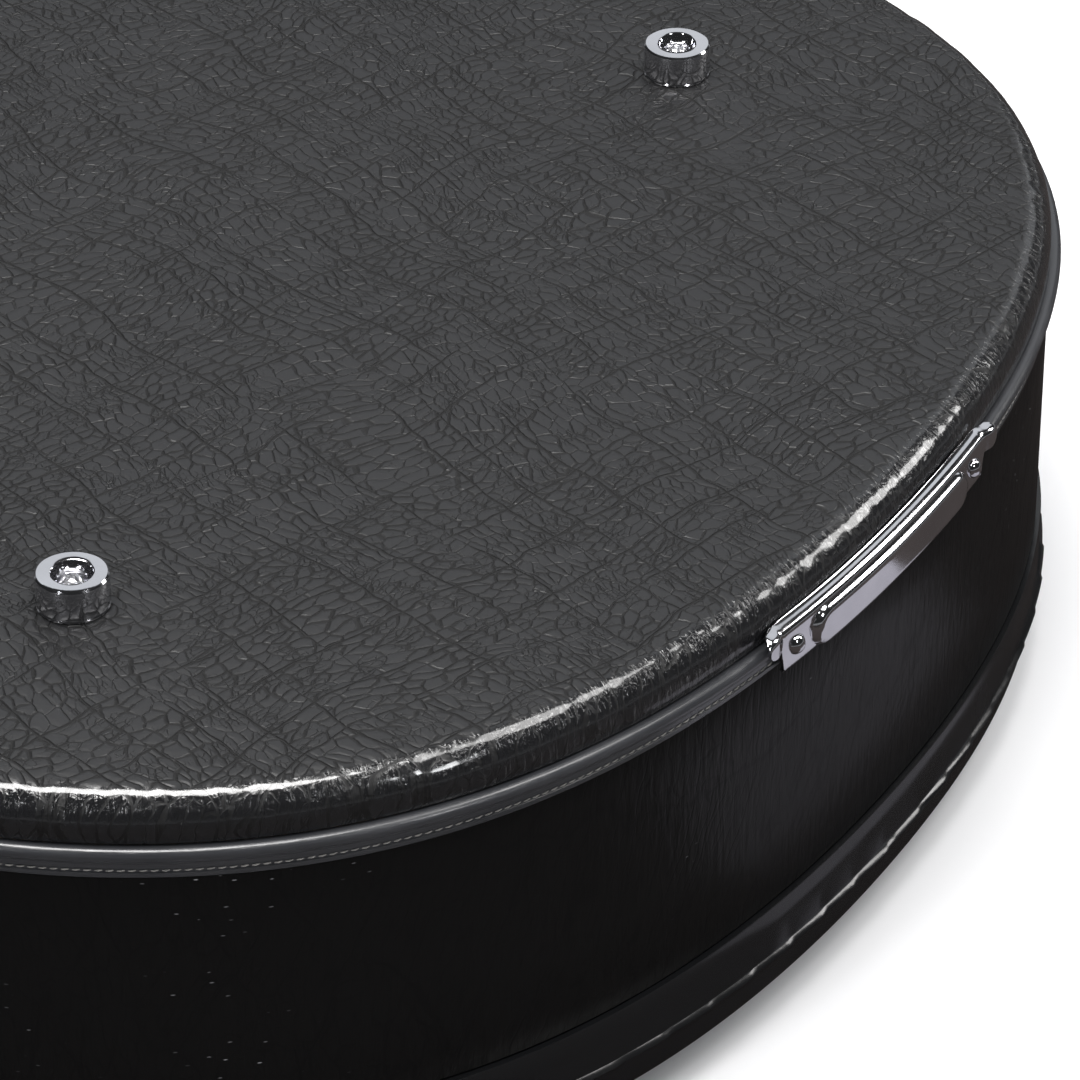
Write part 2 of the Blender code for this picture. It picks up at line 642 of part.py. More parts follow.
def make_joint_plate(finishes, hang):
    """Pressed plate, ribbed along its length, over the place where the piping's ends meet."""
    half = PLATE_LENGTH / 2
    top = PIPING_TOP + 0.0030
    bottom = PIPING_BOTTOM - 0.0012
    clear = PIPING_PROUD + GAP + 0.0002
    flat = clear
    crown = clear + RIB_PROUD
    section = [(GAP + 0.0002, top, 0.0), (flat, top - 0.0012, 0.0), (flat, top - 0.0030, 0.0),
               (crown, top - 0.0042, 1.0), (crown + 0.0004, top - 0.0066, 1.0),
               (crown, bottom + 0.0034, 1.0), (flat, bottom + 0.0022, 0.0),
               (GAP + PIPING_FLANGE + 0.0004, bottom + 0.0003, 0.0), (GAP + 0.0002, bottom, 0.0)]
    stations = [-1.0, -0.95, -0.80, -0.72, -0.66, -0.4, -0.13, 0.13, 0.4, 0.66, 0.72, 0.80, 0.95, 1.0]
    mesh = bmesh.new()
    rows = []
    for share in stations:
        rib = 1.0 if abs(share) < 0.69 else (0.5 if abs(share) < 0.75 else 0.0)
        row = []
        for offset, level, ribbed in section:
            out = flat + (offset - flat) * rib if ribbed else offset
            if abs(share) == 1.0:
                out = max(out, flat)
            middle = (top + bottom) / 2
            height = middle + (level - middle) * (0.80 if abs(share) == 1.0 else 1.0)
            point = butt_point(PLATE_OFF_CENTRE + share * half, out)
            row.append(mesh.verts.new((point.x, point.y, height)))
        rows.append(row)
    for low, high in zip(rows, rows[1:]):
        for i in range(len(section) - 1):
            mesh.faces.new((low[i], low[i + 1], high[i + 1], high[i]))
    data = finish_mesh(mesh)
    plate = place("piping_joint_plate", data, finishes["chrome"], pivot=hang)
    thicken = plate.modifiers.new("Sheet", "SOLIDIFY")
    thicken.thickness = PLATE_SHEET
    thicken.offset = 1.0
    return flat + PLATE_SHEET, (top + bottom) / 2 + 0.0002


def dome(radius, height, sides=10):
    profile = [(0.0, height), (radius * 0.62, height * 0.80), (radius, 0.0), (0.0, 0.0)]
    return turned(profile, sides)


def rivet(x=0.0, y=0.0, z=0.0, scale=1.0, sides=10):
    """Rivet head with its flat side on a plate that faces +Y."""
    head = dome(RIVET_DIAMETER / 2 * scale, RIVET_HEIGHT * scale, sides)
    head.transform(Matrix.Translation((x, y, z)) @ Matrix.Rotation(-math.pi / 2, 4, "X"))
    return head


def riveted(plate, seat, spots):
    """A plate with small rivet heads formed on its face at (x, z) spots."""
    sunk = 0.0002
    return fuse(plate, *(rivet(x, seat - sunk, z, scale=0.72, sides=6) for x, z in spots))


def make_plate_rivets(finishes, hang, seat, level):
    for number, sign in enumerate((-1, 1), 1):
        along = PLATE_OFF_CENTRE + sign * PLATE_LENGTH / 2 * 0.86
        point, beside = butt_point(along, seat + GAP), butt_point(along + 0.001, seat + GAP)
        turn = math.atan2(beside.y - point.y, beside.x - point.x) - math.pi
        place(f"plate_rivet_{number}", rivet(), finishes["chrome"], spot=(point.x, point.y, level),
              turn=turn, pivot=hang)


def knuckle(start, stop):
    """Hinge knuckle along X and the bore to cut in it."""
    middle = ((start + stop) / 2, 0, 0)
    tube = rod(HINGE_BARREL_RADIUS, stop - start, middle, sides=10)
    bore = rod(HINGE_PIN_RADIUS + RUNNING_CLEARANCE, stop - start + 0.002, middle, sides=10)
    return tube, bore


def strap(start, stop, levels, up):
    """Bent metal that joins a leaf to its knuckle, from the leaf's depth at each end."""
    rings = []
    for x, y in zip((start, stop), levels):
        section = ((y, 0.0036), (y, 0.0060), (-0.0006, 0.0028), (-0.0022, 0.0012))
        rings.append([Vector((x, a, b * up)) for a, b in section])
    return loft(rings)


def hinge_leaf(fit, up, seat, height, knuckles):
    """Leaf on the wall with its rivets and knuckles. Fit is the wall's frame seen from the axis."""
    near = HINGE_BARREL_RADIUS + RUNNING_CLEARANCE
    shape = rounded(HINGE_LENGTH, height, 0.002, (0, up * (near + height / 2)))
    plate = extruded(shape, HINGE_LEAF, start=seat)
    spots = [(sign * HINGE_LENGTH * 0.36, up * (near + height * 0.6)) for sign in (-1, 1)]
    plate = riveted(plate, seat + HINGE_LEAF, spots)
    plate.transform(fit)
    tilt = fit.to_euler().z
    middle = fit @ Vector((0, seat + HINGE_LEAF / 2, 0))
    joined, bores = [], []
    for start, stop in knuckles:
        levels = [middle.y + (x - middle.x) * math.tan(tilt) for x in (start, stop)]
        tube, bore = knuckle(start, stop)
        joined += [strap(start, stop, levels, up), tube]
        bores.append(bore)
    return carve(fuse(plate, *joined), *bores)


def make_hinges(finishes, hang, start, along):
    """Two hinges on one line outside the case, each with a leaf on the lid and one on the shell."""
    turn = math.atan2(-along.y, -along.x)
    inner = HINGE_LENGTH / 6
    outer = HINGE_LENGTH / 2
    ends = ((-outer, -inner - RUNNING_CLEARANCE), (inner + RUNNING_CLEARANCE, outer))
    for number, x in enumerate((LOWER_BOUT_X, HEAD_X + HEAD_HINGE_FROM_HEAD), 1):
        y = start.y + (x - start.x) * along.y / along.x
        frame = Matrix.Translation((x, y, SEAM)) @ Matrix.Rotation(turn, 4, "Z")
        point, wall_turn = wall_spot(x, 1, HINGE_LENGTH / 2)
        stand_off = bulge(point, wall_turn, HINGE_LENGTH / 2)
        wall = Matrix.Translation((point.x, point.y, SEAM)) @ Matrix.Rotation(wall_turn, 4, "Z")
        fit = frame.inverted() @ wall
        lid_height = SEAM - RIDGE - HINGE_BARREL_RADIUS - 0.0030
        lid_leaf = hinge_leaf(fit, -1, stand_off + BAND_PROUD + GAP, lid_height, ends)
        shell_leaf = hinge_leaf(fit, 1, stand_off + GAP, HINGE_LEAF_HEIGHT, ((-inner, inner),))
        pin = rod(HINGE_PIN_RADIUS, HINGE_LENGTH + 0.0012, (0, 0, 0), 10)
        chrome, steel = finishes["chrome"], finishes["steel"]
        place(f"hinge_lid_leaf_{number}", lid_leaf, chrome, spot=(x, y, SEAM), turn=turn)
        place(f"hinge_shell_leaf_{number}", shell_leaf, chrome, spot=(x, y, SEAM), turn=turn, pivot=hang)
        place(f"hinge_pin_{number}", pin, steel, spot=(x, y, SEAM), turn=turn)


def latch_base_mesh():
    """Riveted plate with two ears and the pin on which the lever turns, seen from that pin."""
    wall = GAP - LATCH_PIVOT_OUT
    bottom = LATCH_BASE_ABOVE_SEAM - LATCH_PIVOT_ABOVE_SEAM
    middle = bottom + LATCH_BASE_HEIGHT / 2
    shape = rounded(LATCH_BASE_WIDTH, LATCH_BASE_HEIGHT, LATCH_BASE_CORNER, (0, middle))
    plate = extruded(shape, LATCH_SHEET, start=wall)
    across = LATCH_BASE_WIDTH / 2 - RIVET_INSET
    levels = (bottom + RIVET_INSET, bottom + LATCH_BASE_HEIGHT - RIVET_INSET)
    plate = riveted(plate, wall + LATCH_SHEET, [(x, z) for x in (-across, across) for z in levels])
    ear = [(wall, 0.0052), (wall, -0.0052), (-0.001, -0.0046), (0.0021, -0.0024), (0.0028, 0.0),
           (0.0021, 0.0024), (-0.001, 0.0046)]
    ears = [extruded(ear, LATCH_SHEET, axis="X", start=s) for s in (EAR_IN, -EAR_IN - LATCH_SHEET)]
    pin = rod(LATCH_PIN_RADIUS, 2 * EAR_IN + 0.001, (0, 0, 0), 8)
    return fuse(plate, *ears, pin)


def latch_lever_mesh():
    """Pressed lever: a face with a turned-out lip, two side flanges and the claw's pin."""
    face_out = LEVER_DEPTH + LATCH_SHEET
    half = LEVER_WIDTH / 2
    end, shoulder, belly = LEVER_LENGTH, LEVER_LENGTH * 0.90, LEVER_LENGTH * 0.45
    side = [(-0.0018, -0.0018), (0.0, -0.0026), (0.0019, -0.0018), (0.0038, 0.0012),
            (face_out - 0.0003, 0.0015), (face_out - 0.0003, end * 0.86), (0.0020, end * 0.80),
            (0.0002, belly), (-0.0014, 0.0105), (-0.0026, 0.0)]
    flanges = [extruded(side, LATCH_SHEET, axis="X", start=s) for s in (half - LATCH_SHEET, -half)]
    face = [(LEVER_DEPTH, 0.0015), (face_out, 0.0020), (face_out + 0.0006, belly), (face_out, shoulder),
            (face_out + 0.0022, end), (face_out + 0.0010, end + 0.0006),
            (LEVER_DEPTH - 0.0006, shoulder), (LEVER_DEPTH + 0.0004, belly)]
    skin = extruded(face, LEVER_WIDTH, axis="X", start=-half)
    claw_pin = rod(LATCH_PIN_RADIUS, 2 * (half + 0.0015), (0, CLAW_PIN_OUT, CLAW_PIN_ABOVE), 8)
    hole = rod(LATCH_PIN_RADIUS + RUNNING_CLEARANCE, LEVER_WIDTH + 0.004, (0, 0, 0), 8)
    return carve(fuse(skin, *flanges, claw_pin), hole)


def latch_claw_mesh():
    """Claw that hangs on the lever's second pin, with two arms, a bridge and a hook at its tip."""
    inner, outer = CLAW_INSIDE, CLAW_INSIDE + LATCH_SHEET
    high = CLAW_PIN_ABOVE
    arm = [(inner, CLAW_BRIDGE - 0.001), (outer + 0.0012, CLAW_BRIDGE - 0.001), (outer + 0.0016, high),
           (CLAW_PIN_OUT + 0.0012, high + 0.0020), (CLAW_PIN_OUT - 0.0012, high + 0.0020),
           (inner - 0.0012, high + 0.0002), (inner, high - 0.0026)]
    arms = [extruded(arm, LATCH_SHEET, axis="X", start=s) for s in (CLAW_ARM_IN, -CLAW_ARM_OUT)]
    hook_in = BAND_PROUD + GAP + LATCH_SHEET + GAP - LATCH_PIVOT_OUT
    hook = [(inner, CLAW_BRIDGE), (outer, CLAW_BRIDGE), (outer, CLAW_TIP),
            (outer - 0.0004, CLAW_TIP - 0.0004), (hook_in, CLAW_TIP - 0.0004),
            (hook_in, CLAW_TIP + 0.0008), (inner, CLAW_TIP + 0.0008)]
    bridge = extruded(hook, 2 * CLAW_ARM_OUT, axis="X", start=-CLAW_ARM_OUT)
    eye = (0, CLAW_PIN_OUT, CLAW_PIN_ABOVE)
    bore = rod(LATCH_PIN_RADIUS + RUNNING_CLEARANCE, 2 * CLAW_ARM_OUT + 0.004, eye, 8)
    return carve(fuse(bridge, *arms), bore)


def latch_catch_mesh():
    """Riveted plate on the lid's band, with the lip that the claw's hook pulls on."""
    back = BAND_PROUD + GAP - LATCH_PIVOT_OUT
    front = back + LATCH_SHEET
    top = -LATCH_PIVOT_ABOVE_SEAM - 0.0010
    bottom = RIDGE + 0.0022 - SEAM - LATCH_PIVOT_ABOVE_SEAM
    lip = CLAW_TIP + 0.0008 + GAP
    reach = CLAW_INSIDE - GAP
    section = [(back, top), (back, bottom), (front, bottom), (front, lip), (reach, lip),
               (reach, lip + LATCH_SHEET), (front, lip + 0.0016), (front, top)]
    half = CLAW_ARM_OUT + CATCH_BESIDE_CLAW
    catch = extruded(section, 2 * half, axis="X", start=-half)
    level = (top + bottom) / 2 + 0.002
    return riveted(catch, front, [(s * (CLAW_ARM_OUT + 0.0045), level) for s in (-1, 1)])


def latch_spots():
    """Wall point and turn of each latch: lower bout, upper bout, neck side and head end."""
    stations = (LOWER_BOUT_X, UPPER_BOUT_X - UPPER_LATCH_PAST_BOUT, HEAD_X + NECK_LATCH_FROM_HEAD)
    spots = [wall_spot(x, -1, LATCH_BASE_WIDTH / 2) for x in stations]
    return spots + [(Vector((HEAD_X, 0)), math.pi / 2)]


def make_latches(finishes, hang):
    base, lever, claw, catch = latch_base_mesh(), latch_lever_mesh(), latch_claw_mesh(), latch_catch_mesh()
    chrome = finishes["chrome"]
    for number, (point, turn) in enumerate(latch_spots(), 1):
        outward = Vector((-math.sin(turn), math.cos(turn)))
        level = SEAM + LATCH_PIVOT_ABOVE_SEAM
        stand_off = LATCH_PIVOT_OUT + bulge(point, turn, LATCH_BASE_WIDTH / 2)
        spot = (*(point + outward * stand_off), level)
        lever_axis = pivot_at(f"latch_pivot_{number}", spot, hang)
        frame = Matrix.Translation(spot) @ Matrix.Rotation(turn, 4, "Z")
        claw_spot = frame @ Vector((0, CLAW_PIN_OUT, CLAW_PIN_ABOVE))
        claw_axis = pivot_at(f"claw_pivot_{number}", claw_spot, lever_axis)
        place(f"latch_base_{number}", base.copy(), chrome, spot=spot, turn=turn, pivot=hang)
        place(f"latch_lever_{number}", lever.copy(), chrome, spot=spot, turn=turn, pivot=lever_axis)
        place(f"latch_claw_{number}", claw.copy(), chrome, spot=spot, turn=turn, pivot=claw_axis)
        place(f"latch_catch_{number}", catch.copy(), chrome, spot=spot, turn=turn)


def bar(path, radii):
    """Solid bar through the given points, round in section, with its own radius at each."""
    curve = bpy.data.curves.new("bar", "CURVE")
    curve.dimensions = "3D"
    spline = curve.splines.new("POLY")
    spline.points.add(len(path) - 1)
    for point, spot, radius in zip(spline.points, path, radii):
        point.co = (*spot, 1)
        point.radius = radius / GRIP_RADIUS
    curve.bevel_depth = GRIP_RADIUS
    curve.bevel_resolution = 2
    curve.use_fill_caps = True
    host = bpy.data.objects.new("bar", curve)
    bpy.context.scene.collection.objects.link(host)
    seen = host.evaluated_get(bpy.context.evaluated_depsgraph_get())
    mesh = bmesh.new()
    mesh.from_mesh(bpy.data.meshes.new_from_object(seen))
    bpy.data.objects.remove(host)
    bmesh.ops.remove_doubles(mesh, verts=mesh.verts, dist=0.00001)
    bmesh.ops.recalc_face_normals(mesh, faces=mesh.faces)
    return finish_mesh(mesh)


def grip_mesh(reach):
    """Bowed grip: slim tongues at the pins, and a thick middle that hangs below them."""
    shape = ((0.0, -GRIP_TONGUE_TOP, GRIP_TONGUE_RADIUS), (0.0, 0.30, GRIP_TONGUE_RADIUS),
             (0.004, 0.55, GRIP_TONGUE_RADIUS * 1.12), (0.014, 0.80, GRIP_TONGUE_RADIUS * 1.35),
             (0.028, 0.93, GRIP_RADIUS * 0.92), (0.044, 0.99, GRIP_RADIUS), (reach, 1.0, GRIP_RADIUS))
    half = [(-reach + inset, -GRIP_DROP * depth if depth > 0 else -depth, radius)
            for inset, depth, radius in shape]
    whole = half + [(-x, z, radius) for x, z, radius in reversed(half[:-1])]
    return bar([(x, 0, z) for x, z, _ in whole], [radius for _, _, radius in whole])


def make_handle(finishes, hang):
    """Carrying handle at the waist: two riveted brackets, two pins and a bowed grip."""
    level = BACK - HANDLE_PIVOT_BELOW_BACK
    reach = HANDLE_PIVOT_SPACING / 2
    middle = WAIST_X - HANDLE_BEHIND_WAIST
    ends = [wall_spot(middle + sign * reach, -1, BRACKET_WIDTH / 2) for sign in (1, -1)]
    axis_y = min(point.y for point, _ in ends) - HANDLE_PIVOT_OUT
    swing = pivot_at("handle_pivot", (middle, axis_y, level), hang)
    hole_radius = HANDLE_PIN_RADIUS + RUNNING_CLEARANCE
    fork = GRIP_TONGUE_RADIUS + RUNNING_CLEARANCE
    fork_out = fork + BRACKET_EAR
    for number, (sign, (point, turn)) in enumerate(zip((1, -1), ends), 1):
        x = middle + sign * reach
        seat = GAP + bulge(point, turn, BRACKET_WIDTH / 2)
        plate = extruded(rounded(BRACKET_WIDTH, BRACKET_HEIGHT, 0.005), BRACKET_SHEET, start=seat)
        plate = riveted(plate, seat + BRACKET_SHEET, [(0, -0.0125), (0, 0.0125)])
        plate.transform(Matrix.Translation((0, point.y - axis_y, 0)) @ Matrix.Rotation(turn, 4, "Z"))
        ears = []
        for start in (fork, -fork_out):
            sheet = seat + BRACKET_SHEET / 2 + math.sin(turn) * (start + BRACKET_EAR / 2)
            root = point.y - axis_y + sheet / math.cos(turn)
            ear = [(root, -0.0070), (root, 0.0070), (0.0, 0.0048), (-0.0040, 0.0028), (-0.0048, 0.0),
                   (-0.0040, -0.0028), (0.0, -0.0048)]
            ears.append(extruded(ear, BRACKET_EAR, axis="X", start=start))
        bore = rod(hole_radius, 2 * fork_out + 0.002, (0, 0, 0), 10)
        place(f"handle_bracket_{number}", carve(fuse(plate, *ears), bore), finishes["chrome"],
              spot=(x, axis_y, level), pivot=hang)
        pin = rod(HANDLE_PIN_RADIUS, 2 * fork_out + 0.0016, (0, 0, 0), 10)
        place(f"handle_pin_{number}", pin, finishes["steel"], spot=(x, axis_y, level), pivot=hang)
    eyes = [rod(hole_radius, 3 * GRIP_TONGUE_RADIUS, (sign * reach, 0, 0), 10) for sign in (1, -1)]
    place("handle_grip", carve(grip_mesh(reach), *eyes), finishes["grip"], spot=(middle, axis_y, level),
          pivot=swing)


def clear_scene():
    for item in list(bpy.data.objects):
        bpy.data.objects.remove(item)


def make_finishes():
    return {
        "vinyl": finish("black_vinyl", (0.030, 0.032, 0.034), 0.42),
        "band": finish("smooth_edge_band", (0.018, 0.019, 0.021), 0.32),
        "piping": finish("pvc_piping", (0.060, 0.064, 0.072), 0.38),
        "plywood": finish("plywood", (0.42, 0.29, 0.17), 0.70),
        "valance": finish("fibre_valance", (0.05, 0.045, 0.042), 0.75),
        "plush": finish("black_plush", (0.022, 0.021, 0.024), 0.95),
        "ribbon": finish("satin_ribbon", (0.03, 0.03, 0.032), 0.45),
        "chrome": finish("chrome", (0.78, 0.78, 0.80), 0.12, 1.0),
        "steel": finish("bright_steel", (0.62, 0.62, 0.64), 0.25, 1.0),
        "grip": finish("moulded_grip", (0.020, 0.020, 0.021), 0.55),
    }


def make_case():
    finishes = make_finishes()
    start, along = hinge_line()
    hang = pivot_at("case_hinge", (start.x, start.y, SEAM))
    make_lid(finishes)
    make_shell(finishes, hang)
    face, pad_low = make_padding(finishes, hang)
    make_neck_fittings(finishes, hang, face, pad_low)
    make_feet(finishes, hang)
    seat, level = make_joint_plate(finishes, hang)
    make_plate_rivets(finishes, hang, seat, level)
    make_hinges(finishes, hang, start, along)
    make_latches(finishes, hang)
    make_handle(finishes, hang)


clear_scene()
CASE = bpy.data.collections.new("acoustic_guitar_case")
bpy.context.scene.collection.children.link(CASE)
make_case()
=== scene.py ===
"""Acoustic guitar case on a pale studio floor, lying on its arched lid with the footed back up.

Metres, +Z up. +X points to the butt end and -Y is the side with the handle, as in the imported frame.
"""

import math

import bpy
import numpy as np
from mathutils import Matrix, Vector, noise
from mathutils.geometry import interpolate_bezier


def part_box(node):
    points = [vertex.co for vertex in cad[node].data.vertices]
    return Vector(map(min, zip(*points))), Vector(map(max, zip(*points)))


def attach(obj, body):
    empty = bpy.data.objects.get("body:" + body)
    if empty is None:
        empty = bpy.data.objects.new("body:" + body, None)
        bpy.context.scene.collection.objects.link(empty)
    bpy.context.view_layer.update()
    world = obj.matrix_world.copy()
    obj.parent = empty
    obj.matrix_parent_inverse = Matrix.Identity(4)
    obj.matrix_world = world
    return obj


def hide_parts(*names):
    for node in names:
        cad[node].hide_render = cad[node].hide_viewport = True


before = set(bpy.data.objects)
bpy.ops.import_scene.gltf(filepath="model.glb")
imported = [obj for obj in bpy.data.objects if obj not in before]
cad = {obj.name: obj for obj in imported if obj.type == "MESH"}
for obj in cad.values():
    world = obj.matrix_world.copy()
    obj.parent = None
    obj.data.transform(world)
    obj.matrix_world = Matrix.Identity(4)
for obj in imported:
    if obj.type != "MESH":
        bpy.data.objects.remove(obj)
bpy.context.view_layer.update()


# The studio: a pale floor, a large soft light overhead, a smaller one at the side, and a camera that
# looks down on the butt end with a long lens, from where the photograph was taken.
IMAGE_WIDTH = 1080
FOCAL_PIXELS = 5788
SENSOR = 36.0
LOOK_AT = Vector((0.4777, -0.0638, 0.123))
LOOK_ALONG = Vector((-0.4163, 0.7127, -0.5645))
CAMERA_DISTANCE = 1.312


def deselect():
    for item in bpy.context.selected_objects:
        item.select_set(False)


def pick(item):
    """Make one object the only one that the next operator works on."""
    deselect()
    item.select_set(True)
    bpy.context.view_layer.objects.active = item
    return item


def add_node(tree, kind, sockets=None, **settings):
    """One shader node. Each named socket gets a value, or a link from another node's output."""
    made = tree.nodes.new("ShaderNode" + kind)
    for key, value in settings.items():
        setattr(made, key, value)
    for key, value in (sockets or {}).items():
        if isinstance(value, bpy.types.NodeSocket):
            tree.links.new(value, made.inputs[key])
        else:
            made.inputs[key].default_value = value
    return made


def calc(tree, operation, first, second=0.0, third=0.0):
    made = add_node(tree, "Math", {0: first, 1: second, 2: third}, operation=operation)
    return made.outputs[0]


def ramp(tree, value, low, high, start=0.0, stop=1.0, kind="LINEAR"):
    """A value taken from one range to another, held at both ends."""
    made = add_node(tree, "MapRange", {"Value": value, "From Min": low, "From Max": high, "To Min": start,
                                       "To Max": stop}, interpolation_type=kind)
    return made.outputs["Result"]


def blend_colours(tree, share, first, second):
    made = add_node(tree, "Mix", {"Factor": share, "A": (*first, 1), "B": (*second, 1)}, data_type="RGBA")
    return made.outputs["Result"]


def new_material(name, colour, roughness, metallic=0.0, **plain):
    """A material with its shader, whose plain values are set on the shader's own sockets."""
    made = bpy.data.materials.new(name)
    made.use_nodes = True
    shader = made.node_tree.nodes["Principled BSDF"]
    shader.inputs["Base Color"].default_value = (*colour, 1)
    shader.inputs["Roughness"].default_value = roughness
    shader.inputs["Metallic"].default_value = metallic
    for key, value in plain.items():
        shader.inputs[key.replace("_", " ")].default_value = value
    return made, made.node_tree, shader


def object_place(tree):
    return add_node(tree, "TexCoord").outputs["Object"]


def soft_box(name, spot, aim, size, power, colour):
    bpy.ops.object.light_add(type="AREA", location=spot)
    lamp = bpy.context.object
    lamp.name = name
    lamp.data.shape = "RECTANGLE"
    lamp.data.size, lamp.data.size_y = size
    lamp.data.energy = power
    lamp.data.color = colour
    lamp.rotation_euler = (Vector(aim) - Vector(spot)).to_track_quat("-Z", "Y").to_euler()


deselect()
bpy.ops.object.camera_add(location=LOOK_AT - LOOK_ALONG.normalized() * CAMERA_DISTANCE)
camera = bpy.context.object
camera.rotation_euler = LOOK_ALONG.to_track_quat("-Z", "Y").to_euler()
camera.data.sensor_width = SENSOR
camera.data.lens = FOCAL_PIXELS / IMAGE_WIDTH * SENSOR
camera.data.clip_start, camera.data.clip_end = 0.02, 50.0
bpy.context.scene.camera = camera

soft_box("overhead_strip", (0.16, -0.17, 1.62), (0.16, -0.17, 0.0), (1.40, 0.40), 40.0, (1.0, 0.99, 0.98))
soft_box("side_softbox", (1.08, 0.42, 1.55), (0.50, 0.0, 0.1), (0.60, 0.50), 9.0, (1.0, 0.99, 0.98))
soft_box("rim_light", (1.35, 1.15, 0.90), (0.53, 0.0, 0.05), (0.35, 0.60), 7.0, (1.0, 0.99, 0.98))
soft_box("left_lamp", (0.22, -1.37, 1.06), (0.42, -0.10, 0.12), (0.16, 0.30), 3.6, (0.97, 0.98, 1.0))
soft_box("right_lamp", (1.68, -0.37, 1.06), (0.42, -0.10, 0.12), (0.16, 0.30), 3.6, (0.97, 0.98, 1.0))
soft_box("back_softbox", (-0.30, 1.45, 1.25), (0.20, 0.0, 0.1), (2.4, 1.4), 7.6, (0.93, 0.96, 1.0))
world = bpy.data.worlds.new("studio")
world.use_nodes = True
backdrop = world.node_tree.nodes["Background"]
backdrop.inputs["Color"].default_value = (0.95, 0.97, 1.0, 1)
rays = add_node(world.node_tree, "LightPath").outputs
aim = add_node(world.node_tree, "TexCoord").outputs["Generated"]
rise = add_node(world.node_tree, "SeparateXYZ", {"Vector": aim}).outputs["Z"]
low_wall = ramp(world.node_tree, rise, 0.02, 0.12, 0.25, 0.02, "SMOOTHSTEP")
lit = add_node(world.node_tree, "Mix", {"Factor": rays["Is Glossy Ray"], "A": 0.30, "B": low_wall})
shown = add_node(world.node_tree, "Mix", {"Factor": rays["Is Camera Ray"], "A": lit.outputs[0], "B": 1.0})
world.node_tree.links.new(shown.outputs[0], backdrop.inputs["Strength"])
bpy.context.scene.world = world
bpy.context.scene.view_settings.view_transform = "Standard"

deselect()
bpy.ops.mesh.primitive_plane_add(size=40.0, location=(0, 0, -0.0004))
floor = bpy.context.object
floor.name = "studio_floor"
paper, tree, shader = new_material("studio_paper", (0.86, 0.86, 0.87), 0.7)
fibres = add_node(tree, "TexNoise", {"Vector": object_place(tree), "Scale": 9.0, "Detail": 3.0})
tree.links.new(ramp(tree, fibres.outputs["Fac"], 0.3, 0.7, 0.66, 0.74), shader.inputs["Roughness"])
floor.data.materials.append(paper)


def reflector(name, size, spot, colour):
    """A card on the studio floor that shows only in the shine of the case, and casts no shadow."""
    deselect()
    bpy.ops.mesh.primitive_plane_add(size=1.0, location=spot)
    card = bpy.context.object
    card.name = name
    card.scale = (*size, 1)
    card.visible_camera = card.visible_diffuse = card.visible_shadow = card.visible_transmission = False
    card.data.materials.append(new_material(name, colour, 0.9)[0])


reflector("dark_table_card", (6.0, 6.0), (0.0, 0.0, -0.0002), (0.014, 0.009, 0.008))
reflector("pale_card", (0.13, 0.15), (0.63, 0.05, -0.0001), (0.20, 0.195, 0.22))


# The outline of the pressed case, a closed run of curves from the butt round the bouts and the neck
# to the squared head. Every cover, rim, band and pad follows it at its own distance.
LENGTH = 1.075
BUTT_X, HEAD_X = LENGTH / 2, -LENGTH / 2
LOWER, WAIST = Vector((BUTT_X - 0.212, 0.222)), Vector((BUTT_X - 0.366, 0.157))
UPPER, NECK = Vector((BUTT_X - 0.466, 0.170)), Vector((BUTT_X - 0.612, 0.088))
CORNER, HEAD_END = Vector((HEAD_X + 0.032, 0.079)), Vector((HEAD_X, 0.047))
ROUND_CORNER = 0.032 * 0.552
WALK_STEPS = 400


def side_runs():
    """The four control points of each curve on the +Y side, from the butt to the head."""
    across = Vector((1.0, 0.0))
    to_waist, to_upper = (LOWER.x - WAIST.x) * 0.45, (WAIST.x - UPPER.x) * 0.45
    to_neck = (UPPER.x - NECK.x) * 0.44
    along_neck = (CORNER - NECK).normalized()
    butt, tip = Vector((BUTT_X, 0.0)), Vector((HEAD_X, 0.0))
    return ((butt, Vector((BUTT_X, 0.133)), LOWER + across * 0.160, LOWER),
            (LOWER, LOWER - across * to_waist, WAIST + across * to_waist, WAIST),
            (WAIST, WAIST - across * to_upper, UPPER + across * to_upper, UPPER),
            (UPPER, UPPER - across * to_neck, NECK - along_neck * to_neck, NECK),
            (NECK, NECK.lerp(CORNER, 0.33), NECK.lerp(CORNER, 0.67), CORNER),
            (CORNER, CORNER - across * ROUND_CORNER, HEAD_END + Vector((0, ROUND_CORNER)), HEAD_END),
            (HEAD_END, HEAD_END.lerp(tip, 0.33), HEAD_END.lerp(tip, 0.67), tip))


def outline_walk():
    """Close points all the way round, anticlockwise from the butt, with the distance walked to each."""
    half = []
    for run in side_runs():
        half += [(p.x, p.y) for p in interpolate_bezier(*[v.to_3d() for v in run], WALK_STEPS)][:-1]
    half.append((HEAD_X, 0.0))
    points = np.array(half + [(x, -y) for x, y in reversed(half[:-1])])
    steps = np.hypot(*np.diff(points, axis=0).T)
    return points, np.concatenate([[0.0], np.cumsum(steps)])


WALK, WALKED = outline_walk()
ROUND_LENGTH = WALKED[-1]


def wall_at(distance):
    """Points on the outline at distances walked from the butt, and the outward direction at each."""
    distance = np.asarray(distance, float) % ROUND_LENGTH
    def spot(at):
        at = at % ROUND_LENGTH
        return np.stack([np.interp(at, WALKED, WALK[:, 0]), np.interp(at, WALKED, WALK[:, 1])], -1)
    along = spot(distance + 0.0004) - spot(distance - 0.0004)
    along /= np.linalg.norm(along, axis=-1, keepdims=True)
    return spot(distance), np.stack([along[..., 1], -along[..., 0]], -1)


